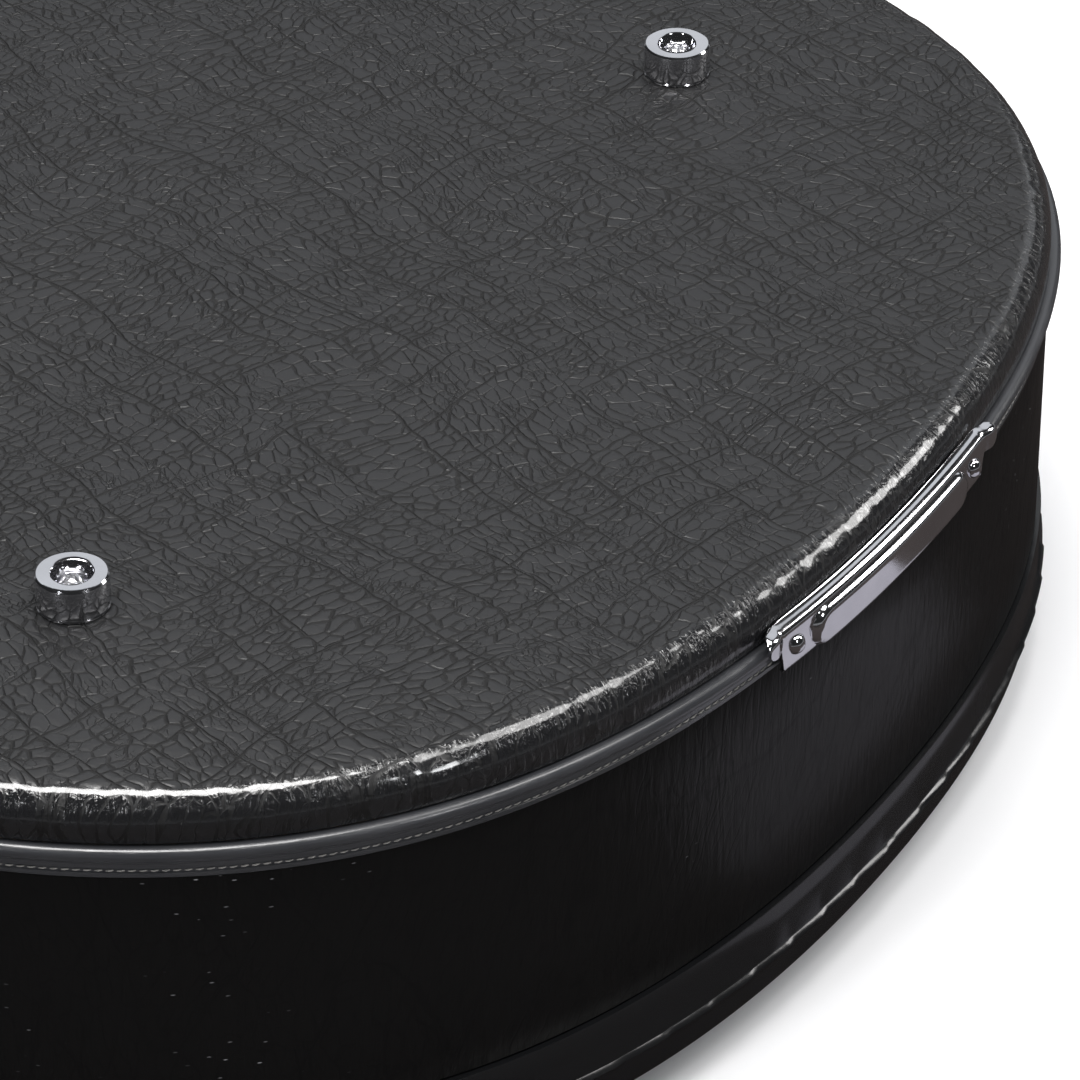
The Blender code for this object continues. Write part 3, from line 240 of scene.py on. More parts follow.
def rings_round(section, spacing, shape=None):
    """A section of (outward, level) points carried round the outline, as rows of points, and the
    distance walked at each row. Shape may move the points from the rows' distances."""
    count = round(ROUND_LENGTH / spacing)
    walked = np.arange(count) * ROUND_LENGTH / count
    point, outward = wall_at(walked)
    offset = np.repeat(np.array([s[0] for s in section])[None, :], count, 0)
    level = np.repeat(np.array([s[1] for s in section])[None, :], count, 0)
    if shape:
        offset, level = shape(walked, offset, level)
    plan = point[:, None, :] + outward[:, None, :] * offset[..., None]
    return np.concatenate([plan, level[..., None]], -1), walked


def shell_piece(name, rows, closed=True, fill=False):
    """A mesh through rows of points that go all the way round. Its section is closed on itself, or its
    first and last edges are filled. Its map holds the distance walked and the distance across."""
    count, width, _ = rows.shape
    mesh = bpy.data.meshes.new(name)
    spans = width if closed else width - 1
    i = np.repeat(np.arange(count), spans)
    k = np.tile(np.arange(spans), count)
    after, beside = (i + 1) % count, (k + 1) % width
    quads = np.stack([i * width + k, after * width + k, after * width + beside, i * width + beside], -1)
    faces = quads.tolist()
    if fill:
        faces.append([r * width for r in range(count)][::-1])
        faces.append([r * width + width - 1 for r in range(count)])
    mesh.from_pydata(rows.reshape(-1, 3).tolist(), [], faces)
    reach = np.linalg.norm(np.roll(rows[0], -1, 0) - rows[0], axis=1)
    reach = np.concatenate([[0.0], np.cumsum(reach)])
    step = ROUND_LENGTH / count
    flat = np.zeros((sum(len(f) for f in faces), 2))
    flat[: 4 * len(i), 0] = (i[:, None] * step + np.array([0, step, step, 0])).ravel()
    flat[: 4 * len(i), 1] = np.stack([reach[k], reach[k], reach[k + 1], reach[k + 1]], -1).ravel()
    mesh.uv_layers.new(name="Walk").data.foreach_set("uv", flat.ravel())
    piece = bpy.data.objects.new(name, mesh)
    bpy.context.scene.collection.objects.link(piece)
    pick(piece)
    bpy.ops.object.mode_set(mode="EDIT")
    bpy.ops.mesh.select_all(action="SELECT")
    bpy.ops.mesh.normals_make_consistent(inside=False)
    bpy.ops.object.mode_set(mode="OBJECT")
    bpy.ops.object.shade_smooth_by_angle(angle=math.radians(40))
    return piece


def arc(centre, radius, start, stop, steps):
    """Points of a section's round, from one angle to another, in degrees from the outward side."""
    turns = np.radians(np.linspace(start, stop, steps + 1))
    return [(centre[0] + radius * math.cos(t), centre[1] + radius * math.sin(t)) for t in turns]


def settle(piece, body, slot, material, *nodes):
    """Give a piece its material, let it ride its body, and hide the nodes it stands for. Its slot is not used.
    """
    piece.data.materials.clear()
    piece.data.materials.append(material)
    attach(piece, body)
    if nodes:
        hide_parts(*nodes)
    return piece


# The vinyl that covers the back, the sides and the lid: black leathercloth pressed with two crossing
# sets of long creases and finer cracks between them, satin on the flats and polished on the edges.
BACK = 0.123
SEAM_TOP = 0.0348
EDGE_RADIUS = 0.0085
SKIN = 0.0010
COVER_BOTTOM = 0.1119
SIDE_TOP = 0.1074

grain = bpy.data.node_groups.new("long_grain", "ShaderNodeTree")
grain.interface.new_socket("Place", in_out="INPUT", socket_type="NodeSocketVector")
grain.interface.new_socket("Height", in_out="OUTPUT", socket_type="NodeSocketFloat")
grain.interface.new_socket("Crease", in_out="OUTPUT", socket_type="NodeSocketFloat")
given = grain.nodes.new("NodeGroupInput").outputs["Place"]


def wander(tree, place, scale, amount):
    """The place moved about by a soft noise, so that straight lines become wavy."""
    drift = add_node(tree, "TexNoise", {"Vector": place, "Scale": scale, "Detail": 1.5})
    centred = add_node(tree, "VectorMath", {0: drift.outputs["Color"], 1: (0.5, 0.5, 0.5)},
                       operation="SUBTRACT")
    moved = add_node(tree, "VectorMath", {0: centred.outputs[0], 1: (amount,) * 3, 2: place},
                     operation="MULTIPLY_ADD")
    return moved.outputs[0]


def groove(tree, distance, half_width, gate):
    """A V-shaped groove with steady flanks, shallower and narrower where the gate is low."""
    open_groove = ramp(tree, distance, 0.0, half_width, 1.0, 0.0)
    return calc(tree, "MAXIMUM", calc(tree, "SUBTRACT", open_groove, calc(tree, "SUBTRACT", 1.0, gate)), 0.0)


def crease_set(tree, place, across, scale, half_width, gate):
    """Long creases square to a direction, at uneven spacing, and a number for each band between them."""
    line = add_node(tree, "VectorMath", {0: place, 1: across}, operation="DOT_PRODUCT").outputs["Value"]
    edge = add_node(tree, "TexVoronoi", {"W": line, "Scale": scale}, voronoi_dimensions="1D",
                    feature="DISTANCE_TO_EDGE")
    band = add_node(tree, "TexVoronoi", {"W": line, "Scale": scale}, voronoi_dimensions="1D")
    number = add_node(tree, "SeparateColor", {"Color": band.outputs["Color"]}).outputs["Red"]
    return line, groove(tree, edge.outputs["Distance"], half_width * scale, gate), number


def patches(tree, place, scale, low, high, start, stop):
    cloud = add_node(tree, "TexNoise", {"Vector": place, "Scale": scale, "Detail": 2.0})
    return ramp(tree, cloud.outputs["Fac"], low, high, start, stop)


ACROSS_A, ACROSS_B = (0.95, -0.28, 0.25), (0.29, 0.94, -0.31)
bent = wander(grain, wander(grain, given, 16.0, 0.022), 110.0, 0.0030)
line_a, deep_a, band_a = crease_set(grain, bent, ACROSS_A, 62.0, 0.00045,
                                    patches(grain, given, 38.0, 0.36, 0.52, 0.35, 1.0))
line_b, deep_b, band_b = crease_set(grain, bent, ACROSS_B, 70.0, 0.00045,
                                    patches(grain, given, 44.0, 0.36, 0.52, 0.30, 1.0))
jagged = wander(grain, bent, 300.0, 0.0014)
fine_a = add_node(grain, "VectorMath", {0: jagged, 1: ACROSS_A}, operation="DOT_PRODUCT").outputs["Value"]
fine_b = add_node(grain, "VectorMath", {0: jagged, 1: ACROSS_B}, operation="DOT_PRODUCT").outputs["Value"]
cell_number = calc(grain, "FRACT", calc(grain, "ADD", band_a, calc(grain, "MULTIPLY", band_b, 1.7)))
turned_way = calc(grain, "GREATER_THAN", cell_number, 0.5)
pitch_a = calc(grain, "MULTIPLY_ADD", turned_way, 150.0, 190.0)
pitch_b = calc(grain, "MULTIPLY_ADD", turned_way, -150.0, 350.0)
cell_place = add_node(grain, "CombineXYZ", {
    "X": calc(grain, "MULTIPLY_ADD", fine_a, pitch_a, calc(grain, "MULTIPLY", band_b, 17.0)),
    "Y": calc(grain, "MULTIPLY_ADD", fine_b, pitch_b, calc(grain, "MULTIPLY", band_a, 23.0))}).outputs[0]
cells = add_node(grain, "TexVoronoi", {"Vector": cell_place, "Scale": 1.0, "Randomness": 0.75},
                 voronoi_dimensions="2D", feature="DISTANCE_TO_EDGE").outputs["Distance"]
small = add_node(grain, "TexVoronoi", {"Vector": cell_place, "Scale": 2.1, "Randomness": 0.85},
                 voronoi_dimensions="2D", feature="DISTANCE_TO_EDGE").outputs["Distance"]
cell_patch = patches(grain, given, 150.0, 0.36, 0.60, 0.20, 0.80)
cell_gate = calc(grain, "MULTIPLY_ADD", cell_number, 0.30, cell_patch)
small_gate = patches(grain, given, 120.0, 0.46, 0.62, -0.1, 0.62)
cracks = groove(grain, cells, 0.140, cell_gate)
small_cracks = groove(grain, small, 0.16, small_gate)
crease = calc(grain, "MAXIMUM", calc(grain, "MAXIMUM", deep_a, deep_b),
              calc(grain, "MAXIMUM", calc(grain, "MULTIPLY", cracks, 0.85),
                   calc(grain, "MULTIPLY", small_cracks, 0.6)))
pillow = ramp(grain, cells, 0.0, 0.42, 0.0, 0.22, "SMOOTHSTEP")
pebble = add_node(grain, "TexNoise", {"Vector": given, "Scale": 1400.0, "Detail": 2.0}).outputs["Fac"]
swell = add_node(grain, "TexNoise", {"Vector": given, "Scale": 85.0, "Detail": 2.0}).outputs["Fac"]
height = calc(grain, "SUBTRACT", calc(grain, "MULTIPLY_ADD", pebble, 0.055, pillow), crease)
height = calc(grain, "MULTIPLY_ADD", swell, 0.22, height)
out = grain.nodes.new("NodeGroupOutput")
grain.links.new(height, out.inputs["Height"])
grain.links.new(ramp(grain, crease, 0.05, 0.55, 0.0, 1.0), out.inputs["Crease"])

soil = bpy.data.node_groups.new("handling_marks", "ShaderNodeTree")
soil.interface.new_socket("Place", in_out="INPUT", socket_type="NodeSocketVector")
soil.interface.new_socket("Size", in_out="INPUT", socket_type="NodeSocketFloat")
soil.interface.new_socket("Smudge", in_out="OUTPUT", socket_type="NodeSocketFloat")
soil.interface.new_socket("Dust", in_out="OUTPUT", socket_type="NodeSocketFloat")
given = soil.nodes.new("NodeGroupInput").outputs
cloud = add_node(soil, "TexNoise", {"Vector": given["Place"], "Scale": given["Size"], "Detail": 4.0,
                                    "Roughness": 0.6})
speck = add_node(soil, "TexVoronoi", {"Vector": given["Place"], "Scale": 420.0})
rare = ramp(soil, speck.outputs["Distance"], 0.06, 0.11, 1.0, 0.0)
few = ramp(soil, cloud.outputs["Fac"], 0.52, 0.64)
out = soil.nodes.new("NodeGroupOutput")
soil.links.new(ramp(soil, cloud.outputs["Fac"], 0.32, 0.70), out.inputs["Smudge"])
soil.links.new(calc(soil, "MULTIPLY", rare, few), out.inputs["Dust"])


def use_group(tree, group, **sockets):
    made = tree.nodes.new("ShaderNodeGroup")
    made.node_tree = group
    for key, value in sockets.items():
        if isinstance(value, bpy.types.NodeSocket):
            tree.links.new(value, made.inputs[key])
        else:
            made.inputs[key].default_value = value
    return made.outputs


def bump(tree, shader, height, distance, strength=1.0):
    made = add_node(tree, "Bump", {"Height": height, "Distance": distance, "Strength": strength})
    tree.links.new(made.outputs["Normal"], shader.inputs["Normal"])


def vinyl_material(name, gloss, matt, relief, shine, wrinkle):
    """Black leathercloth: its roughness from its tops to its creases, the depth of its relief, how
    strongly it shines, and how strongly it is wrinkled up and down the wall."""
    made, tree, shader = new_material(name, (0.007, 0.007, 0.008), 0.4, Specular_IOR_Level=shine,
                                      Coat_Roughness=0.09)
    place = object_place(tree)
    walk = add_node(tree, "UVMap", uv_map="Walk").outputs["UV"]
    pressed = use_group(tree, grain, Place=place)
    marks = use_group(tree, soil, Place=place, Size=14.0)
    # Painted shade: the base colour is blended to near black down in the creases and cracks, a quarter as much
    # on the wall.
    share = calc(tree, "MULTIPLY", pressed["Crease"], 0.25 if wrinkle else 1.0)
    # Painted shade: the wall's copy of the vinyl gets a darker black than the back's, so the wall reads darker
    # than the lit back.
    black = (0.0050, 0.0048, 0.0048) if wrinkle else (0.0085, 0.0086, 0.0094)
    colour = blend_colours(tree, share, black, (0.0020, 0.0020, 0.0024))
    level = add_node(tree, "SeparateXYZ", {"Vector": place}).outputs["Z"]
    polished = ramp(tree, level, BACK - 0.0007, BACK - 0.00005, 1.0, 0.0, "SMOOTHSTEP")
    rough = ramp(tree, marks["Smudge"], 0.0, 1.0, gloss, gloss + 0.06)
    rough = calc(tree, "MULTIPLY_ADD", share, matt - gloss, rough)
    height = pressed["Height"]
    if wrinkle:
        drawn = add_node(tree, "Mapping", {"Vector": walk, "Scale": (1.0, 0.16, 1.0)}).outputs[0]
        folds = add_node(tree, "TexNoise", {"Vector": drawn, "Scale": 520.0, "Detail": 3.0,
                                            "Distortion": 0.4})
        low_grain = calc(tree, "MULTIPLY", height, 0.3)
        height = calc(tree, "MULTIPLY_ADD", folds.outputs["Fac"], wrinkle, low_grain)
        # Painted glints: sparse short specks of light grey are mixed into the base colour where the smudge
        # noise is strong, standing in for glints of light on the wall.
        squat = add_node(tree, "Mapping", {"Vector": walk, "Scale": (0.45, 1.6, 1.0)}).outputs[0]
        speck = add_node(tree, "TexVoronoi", {"Vector": squat, "Scale": 330.0}).outputs["Distance"]
        painted_glint = calc(tree, "MULTIPLY", ramp(tree, speck, 0.05, 0.10, 1.0, 0.0),
                     ramp(tree, marks["Smudge"], 0.55, 0.9))
        lit = add_node(tree, "Mix", {"Factor": painted_glint, "A": colour, "B": (0.20, 0.20, 0.21, 1)},
                       data_type="RGBA")
        colour = lit.outputs["Result"]
    else:
        drawn = add_node(tree, "Mapping", {"Vector": walk, "Scale": (1.0, 0.10, 1.0)}).outputs[0]
        folds = add_node(tree, "TexNoise", {"Vector": drawn, "Scale": 620.0, "Detail": 2.0,
                                            "Distortion": 0.5})
        sharp = ramp(tree, folds.outputs["Fac"], 0.42, 0.60, 0.0, 1.0, "SMOOTHSTEP")
        held = calc(tree, "MULTIPLY", height, calc(tree, "MULTIPLY_ADD", polished, -0.85, 1.0))
        tucks = add_node(tree, "TexNoise", {"Vector": walk, "Scale": 330.0, "Detail": 2.0, "Distortion": 1.2})
        gathered = calc(tree, "MULTIPLY_ADD", tucks.outputs["Fac"], 1.6, sharp)
        height = calc(tree, "MULTIPLY_ADD", calc(tree, "MULTIPLY", gathered, polished), 0.34, held)
        rough = calc(tree, "MULTIPLY_ADD", polished, -0.26, rough)
        tree.links.new(calc(tree, "MULTIPLY", polished, 0.9), shader.inputs["Coat Weight"])
    tree.links.new(colour, shader.inputs["Base Color"])
    tree.links.new(rough, shader.inputs["Roughness"])
    bump(tree, shader, height, relief)
    return made


flat_vinyl = vinyl_material("black_vinyl_back", 0.40, 0.80, 0.00062, 0.5, 0.0)
# The wall's copy of the vinyl: a darker black as painted shade, and light specks as painted glints.
side_vinyl = vinyl_material("black_vinyl_side", 0.30, 0.50, 0.00012, 0.12, 1.8)

edge_centre = (-EDGE_RADIUS, BACK - EDGE_RADIUS)
back_section = [(-0.030, BACK), (-0.0140, BACK)] + arc(edge_centre, EDGE_RADIUS, 90, 0, 12)
back_section += [(0.0, 0.1132), (-0.0001, 0.1121), (-0.0005, COVER_BOTTOM), (-SKIN, 0.1123)]
back_section += arc(edge_centre, EDGE_RADIUS - SKIN, 0, 90, 4) + [(-0.030, BACK - SKIN)]


def pleats(walked, offset, level):
    """Small folds of the vinyl, square to the edge, where it is drawn round the corner and sewn."""
    pull = np.array([[0.0, 0.0] + [math.sin(math.pi * min(1.0, k / 9)) for k in range(13)] + [0.55, 0.3]
                     + [0.0] * 8])
    fold = np.zeros(len(walked))
    for pitch, share, seed in ((0.0062, 0.5, 3.1), (0.0034, 0.32, 17.7), (0.0150, 0.5, 41.3)):
        fold += share * np.array([noise.noise((w / pitch, seed, 0.0)) for w in walked])
    sharp = np.abs(fold) ** 0.75 * np.sign(fold)
    depth = 0.00030 * sharp[:, None] * pull[:, : offset.shape[1]]
    return offset + depth * 0.8, level + depth * 0.8


rows, _ = rings_round(back_section, 0.0013, pleats)
back_cover = shell_piece("back_cover_vinyl", rows, closed=False, fill=True)
settle(back_cover, "shell", "vinyl", flat_vinyl, "back_cover")

side_section = [(-0.0002, SIDE_TOP), (0.0, SIDE_TOP - 0.0004), (0.0, 0.085), (0.0, 0.060),
                (0.0, SEAM_TOP + 0.0006), (-0.0003, SEAM_TOP), (-SKIN, SEAM_TOP), (-SKIN, SIDE_TOP)]
rows, _ = rings_round(side_section, 0.004)
settle(shell_piece("side_cover_vinyl", rows), "shell", "vinyl", side_vinyl, "side_cover")


# The lid's cover: the same vinyl over a shallow arch of plywood, with a flat crown on which the case
# lies. It is tucked under the band at its edge.
LID_ARCH = 0.008
ARCH_EDGE = -0.0083
ARCH_POWER = 2.7
ARCH_END = 0.42
RINGS = 9


def arch_level(draw_in, lift):
    """Height of the lid's arch where a ring is drawn in by a share of the case's width."""
    return LID_ARCH * max(0.0, 1 - draw_in / ARCH_END) ** ARCH_POWER + lift


def arched(lift, inwards):
    """Shares of draw-in and levels of an arched sheet, from its edge to its crown or back."""
    shares = [ARCH_END * (step / RINGS) ** 1.3 for step in range(RINGS + 1)]
    pairs = [(share, arch_level(share, lift)) for share in shares]
    return pairs if inwards else pairs[::-1]


def drawn_rows(start_offset, pairs, spacing):
    """Rings of the outline drawn in towards the centre line by shares, as rows of points."""
    rows, _ = rings_round([(start_offset, 0.0)] * len(pairs), spacing)
    for k, (share, level) in enumerate(pairs):
        rows[:, k, 0] *= 1 - 0.35 * share
        rows[:, k, 1] *= 1 - share
        rows[:, k, 2] = level
    return rows


outer = drawn_rows(ARCH_EDGE, arched(0.0, False), 0.006)
inner = drawn_rows(ARCH_EDGE, arched(SKIN, True), 0.006)
lid_cover = shell_piece("lid_cover_vinyl", np.concatenate([outer, inner], 1), closed=False, fill=True)
settle(lid_cover, "lid", "vinyl", flat_vinyl, "lid_cover")


# The lid's edge band: a smooth moulded strip, wrapped round the rim and folded in over the cover's
# edge. A thin ridge runs round it, ironed down in short laps that break its highlight.
LID_TOP = 0.0345
RIDGE = 0.020
BAND_BOTTOM = 0.008
BAND_PROUD = 0.0013
LAP_LENGTH = 0.0148


def moulded_material(name, colour, gloss, ripple):
    """Smooth black plastic with a faint ripple, fine rubs and a few dust specks."""
    made, tree, shader = new_material(name, colour, gloss)
    place = object_place(tree)
    marks = use_group(tree, soil, Place=place, Size=30.0)
    lighter = tuple(c * 1.9 + 0.01 for c in colour)
    tree.links.new(blend_colours(tree, marks["Dust"], colour, lighter), shader.inputs["Base Color"])
    tree.links.new(ramp(tree, marks["Smudge"], 0.0, 1.0, gloss, gloss + 0.13), shader.inputs["Roughness"])
    wave = add_node(tree, "TexNoise", {"Vector": place, "Scale": 160.0, "Detail": 3.0})
    bump(tree, shader, wave.outputs["Fac"], ripple)
    return made


band_plastic = moulded_material("satin_edge_band", (0.006, 0.0062, 0.0068), 0.15, 0.00008)
band_section = [(BAND_PROUD - 0.0002, LID_TOP), (BAND_PROUD, LID_TOP - 0.0003), (BAND_PROUD, 0.0290),
                (BAND_PROUD, RIDGE + 0.0016), (BAND_PROUD + 0.0001, RIDGE + 0.0009),
                (BAND_PROUD + 0.0007, RIDGE + 0.0005), (BAND_PROUD + 0.0011, RIDGE - 0.0001),
                (BAND_PROUD + 0.0009, RIDGE - 0.0009), (BAND_PROUD + 0.0001, RIDGE - 0.0015),
                (BAND_PROUD - 0.0003, RIDGE - 0.0024)]
band_section += arc((-0.0040, BAND_BOTTOM + 0.0046), 0.0046, 0, -90, 5)
band_section += [(ARCH_EDGE + 0.0003, BAND_BOTTOM + 0.0001), (ARCH_EDGE + 0.0003, BAND_BOTTOM + 0.0009),
                 (-0.0046, BAND_BOTTOM + 0.0013), (-SKIN, BAND_BOTTOM + 0.0046), (-SKIN, LID_TOP)]


def laps(walked, offset, level):
    """Overlapping laps along the ridge, each a little proud of the next one's start."""
    bent_walk = walked + 0.0022 * np.array([noise.noise((w / 0.045, 5.0, 0.0)) for w in walked])
    share = (bent_walk / LAP_LENGTH) % 1.0
    rise = np.where(share < 0.90, share / 0.90, (1 - share) / 0.10)
    weight = np.zeros(offset.shape[1])
    weight[4:9] = (0.4, 0.8, 1.0, 0.8, 0.4)
    wobble = np.array([noise.noise((w / 0.030, 9.0, 2.0)) for w in walked])
    lift = 0.00042 * rise[:, None] * weight + 0.0002 * wobble[:, None] * weight
    return offset + lift, level + 0.0004 * wobble[:, None] * weight


rows, _ = rings_round(band_section, 0.0012, laps)
settle(shell_piece("lid_band_strip", rows), "lid", "edge_band", band_plastic, "lid_band")


# The plywood rims of the lid and the shell: bent birch ply, raw on the edge that shows when the case is open.
PLY_FACE, PLY_GLUE, PLY_CROSS = (0.50, 0.36, 0.21), (0.20, 0.125, 0.07), (0.40, 0.27, 0.15)


def plywood_material():
    made, tree, shader = new_material("birch_plywood", PLY_FACE, 0.62)
    place = object_place(tree)
    stretched = add_node(tree, "Mapping", {"Vector": place, "Scale": (18.0, 160.0, 160.0)})
    fibre = add_node(tree, "TexNoise", {"Vector": stretched.outputs[0], "Scale": 1.0, "Detail": 5.0})
    blotch = add_node(tree, "TexNoise", {"Vector": place, "Scale": 12.0, "Detail": 2.0})
    face = blend_colours(tree, ramp(tree, fibre.outputs["Fac"], 0.35, 0.65), PLY_CROSS, PLY_FACE)
    darker = calc(tree, "MULTIPLY", ramp(tree, blotch.outputs["Fac"], 0.4, 0.7), 0.35)
    mixed = add_node(tree, "Mix", {"Factor": darker, "A": face, "B": (*PLY_GLUE, 1)}, data_type="RGBA")
    tree.links.new(mixed.outputs["Result"], shader.inputs["Base Color"])
    tree.links.new(ramp(tree, fibre.outputs["Fac"], 0.3, 0.7, 0.70, 0.55), shader.inputs["Roughness"])
    bump(tree, shader, fibre.outputs["Fac"], 0.0002)
    return made


plywood = plywood_material()
RIM_OUT, RIM_IN = -0.0016, -0.0062
shell_rim = [(RIM_OUT - 0.0012, 0.1170), (RIM_OUT, 0.1140), (RIM_OUT, 0.0356), (RIM_OUT - 0.0004, 0.0352),
             (RIM_OUT - 0.0016, 0.0352), (RIM_OUT - 0.0018, 0.03535), (RIM_OUT - 0.0028, 0.03535),
             (RIM_OUT - 0.0030, 0.0352), (RIM_IN + 0.0004, 0.0352), (RIM_IN, 0.0356), (RIM_IN, 0.1170)]
rows, _ = rings_round(shell_rim, 0.006)
settle(shell_piece("shell_rim_ply", rows), "shell", "plywood", plywood, "shell_rim")
lid_rim = [(-0.0013, 0.0337), (-0.0017, 0.0341), (-0.0049, 0.0341), (-0.0053, 0.0337), (-0.0053, 0.0140),
           (-0.0013, 0.0140)]
rows, _ = rings_round(lid_rim, 0.006)
settle(shell_piece("lid_rim_ply", rows), "lid", "plywood", plywood, "lid_rim")
for name in ("lid_panel", "back_panel"):
    cad[name].material_slots[0].material = plywood


# The valance: a lip of black vulcanised fibre, glued inside the shell, that stands into the lid and
# keeps the two halves in line.
fibre_board, tree, shader = new_material("black_fibre", (0.030, 0.028, 0.027), 0.62)
place = object_place(tree)
marks = use_group(tree, soil, Place=place, Size=22.0)
tree.links.new(ramp(tree, marks["Smudge"], 0.0, 1.0, 0.5, 0.72), shader.inputs["Roughness"])
worn = blend_colours(tree, marks["Smudge"], (0.022, 0.021, 0.020), (0.045, 0.041, 0.038))
tree.links.new(worn, shader.inputs["Base Color"])
felted = add_node(tree, "TexNoise", {"Vector": place, "Scale": 700.0, "Detail": 4.0})
bump(tree, shader, felted.outputs["Fac"], 0.0001)
valance = [(-0.0065, 0.0473), (-0.0065, 0.0282), (-0.0069, 0.0275), (-0.0078, 0.0272), (-0.0088, 0.0275),
           (-0.0092, 0.0282), (-0.0092, 0.0469), (-0.0088, 0.0473)]
rows, _ = rings_round(valance, 0.006)
settle(shell_piece("seam_valance_fibre", rows), "shell", "valance", fibre_board, "seam_valance")


# The piping: an extruded PVC cord with a flat flange, laid over the joint of the back and side covers
# and sewn down through the flange with a long grey stitch.
BEAD_LEVEL = 0.1098
BEAD_RADIUS = 0.0018
FLANGE_OUT = 0.0012
STITCH_LEVEL = 0.1058
STITCH_PITCH = 0.0024
STITCH_LENGTH = 0.0017
STITCH_RADIUS = 0.00022

pvc, tree, shader = new_material("grey_pvc_piping", (0.036, 0.038, 0.043), 0.40, Coat_Weight=0.35,
                                 Coat_Roughness=0.16)
place = object_place(tree)
marks = use_group(tree, soil, Place=place, Size=40.0)
tone = blend_colours(tree, marks["Smudge"], (0.022, 0.023, 0.026), (0.031, 0.032, 0.036))
tree.links.new(tone, shader.inputs["Base Color"])
tree.links.new(ramp(tree, marks["Smudge"], 0.0, 1.0, 0.26, 0.44), shader.inputs["Roughness"])
drawn = add_node(tree, "Mapping", {"Vector": place, "Scale": (1.0, 1.0, 16.0)})
lines = add_node(tree, "TexNoise", {"Vector": drawn.outputs[0], "Scale": 130.0, "Detail": 3.0})
bump(tree, shader, lines.outputs["Fac"], 0.00012)

piping_section = [(0.0003, 0.1039), (FLANGE_OUT - 0.0002, 0.1039), (FLANGE_OUT, 0.1042), (FLANGE_OUT, 0.1052),
                  (FLANGE_OUT - 0.0003, 0.1054), (FLANGE_OUT - 0.0003, 0.1062), (FLANGE_OUT, 0.1064),
                  (FLANGE_OUT, 0.1076)]
piping_section += arc((0.0008, BEAD_LEVEL), BEAD_RADIUS, -68, 96, 9)
piping_section += [(-0.0008, 0.1115), (-0.0008, 0.1077), (0.0003, 0.1077)]
rows, _ = rings_round(piping_section, 0.003)
settle(shell_piece("edge_piping_pvc", rows), "shell", "piping", pvc, "edge_piping")

thread, tree, shader = new_material("grey_thread", (0.20, 0.195, 0.185), 0.75)
place = object_place(tree)
twist = add_node(tree, "TexNoise", {"Vector": place, "Scale": 900.0, "Detail": 2.0})
tint = blend_colours(tree, twist.outputs["Fac"], (0.11, 0.108, 0.104), (0.30, 0.29, 0.27))
tree.links.new(tint, shader.inputs["Base Color"])
bump(tree, shader, twist.outputs["Fac"], 0.0002)


def stitch_row():
    """One stitch modelled as a short bar, bowed out in its middle, copied all round into one mesh."""
    deselect()
    bpy.ops.mesh.primitive_cylinder_add(vertices=6, radius=STITCH_RADIUS, depth=STITCH_LENGTH,
                                        rotation=(0, math.pi / 2, 0), end_fill_type="NGON")
    one = bpy.context.object
    bpy.ops.object.transform_apply(location=False, rotation=True, scale=False)
    bpy.ops.object.mode_set(mode="EDIT")
    bpy.ops.mesh.select_all(action="SELECT")
    bpy.ops.mesh.bisect(plane_co=(0, 0, 0), plane_no=(1, 0, 0))
    bpy.ops.object.mode_set(mode="OBJECT")
    shape = np.array([v.co for v in one.data.vertices])
    faces = [list(p.vertices) for p in one.data.polygons]
    bpy.data.objects.remove(one)
    middle = 1 - np.abs(shape[:, 0]) / (STITCH_LENGTH / 2)
    shape[:, 1] *= 0.45 + 0.55 * middle
    shape[:, 2] *= 0.55 + 0.45 * middle
    shape[:, 1] += 0.00012 * middle
    count = round(ROUND_LENGTH / STITCH_PITCH)
    walked = (np.arange(count) + 0.5) * ROUND_LENGTH / count
    point, outward = wall_at(walked)
    along = np.stack([-outward[:, 1], outward[:, 0]], -1)
    lean = 0.10
    spots = np.empty((count, len(shape), 3))
    reach = shape[None, :, 0]
    seat = FLANGE_OUT - 0.00022 + shape[None, :, 1]
    spots[..., :2] = (point[:, None, :] + along[:, None, :] * reach[..., None]
                      + outward[:, None, :] * seat[..., None])
    spots[..., 2] = STITCH_LEVEL + shape[None, :, 2] + lean * reach
    mesh = bpy.data.meshes.new("piping_stitches")
    moved = [[v + n * len(shape) for v in face] for n in range(count) for face in faces]
    mesh.from_pydata(spots.reshape(-1, 3).tolist(), [], moved)
    piece = bpy.data.objects.new("piping_stitches", mesh)
    bpy.context.scene.collection.objects.link(piece)
    pick(piece)
    bpy.ops.object.mode_set(mode="EDIT")
    bpy.ops.mesh.select_all(action="SELECT")
    bpy.ops.mesh.normals_make_consistent(inside=False)
    bpy.ops.object.mode_set(mode="OBJECT")
    bpy.ops.object.shade_smooth_by_angle(angle=math.radians(60))
    return piece


settle(stitch_row(), "shell", "piping", thread)


# The chromed parts: the pressed plate over the piping's joint with its two rivets, and the four
# turned feet with their screws. All are nickel and chrome on steel, lightly hazed by handling.
def plated_material(name, colour, gloss, haze, grain_bump):
    made, tree, shader = new_material(name, colour, gloss, 1.0)
    place = object_place(tree)
    marks = use_group(tree, soil, Place=place, Size=60.0)
    scratch = add_node(tree, "TexNoise", {"Vector": place, "Scale": 2200.0, "Detail": 3.0, "Distortion": 0.6})
    rough = ramp(tree, marks["Smudge"], 0.0, 1.0, gloss, gloss + haze)
    tree.links.new(calc(tree, "MULTIPLY_ADD", scratch.outputs["Fac"], haze * 0.5, rough),
                   shader.inputs["Roughness"])
    dull = tuple(c * 0.86 for c in colour)
    tree.links.new(blend_colours(tree, marks["Smudge"], colour, dull), shader.inputs["Base Color"])
    bump(tree, shader, scratch.outputs["Fac"], grain_bump)
    return made


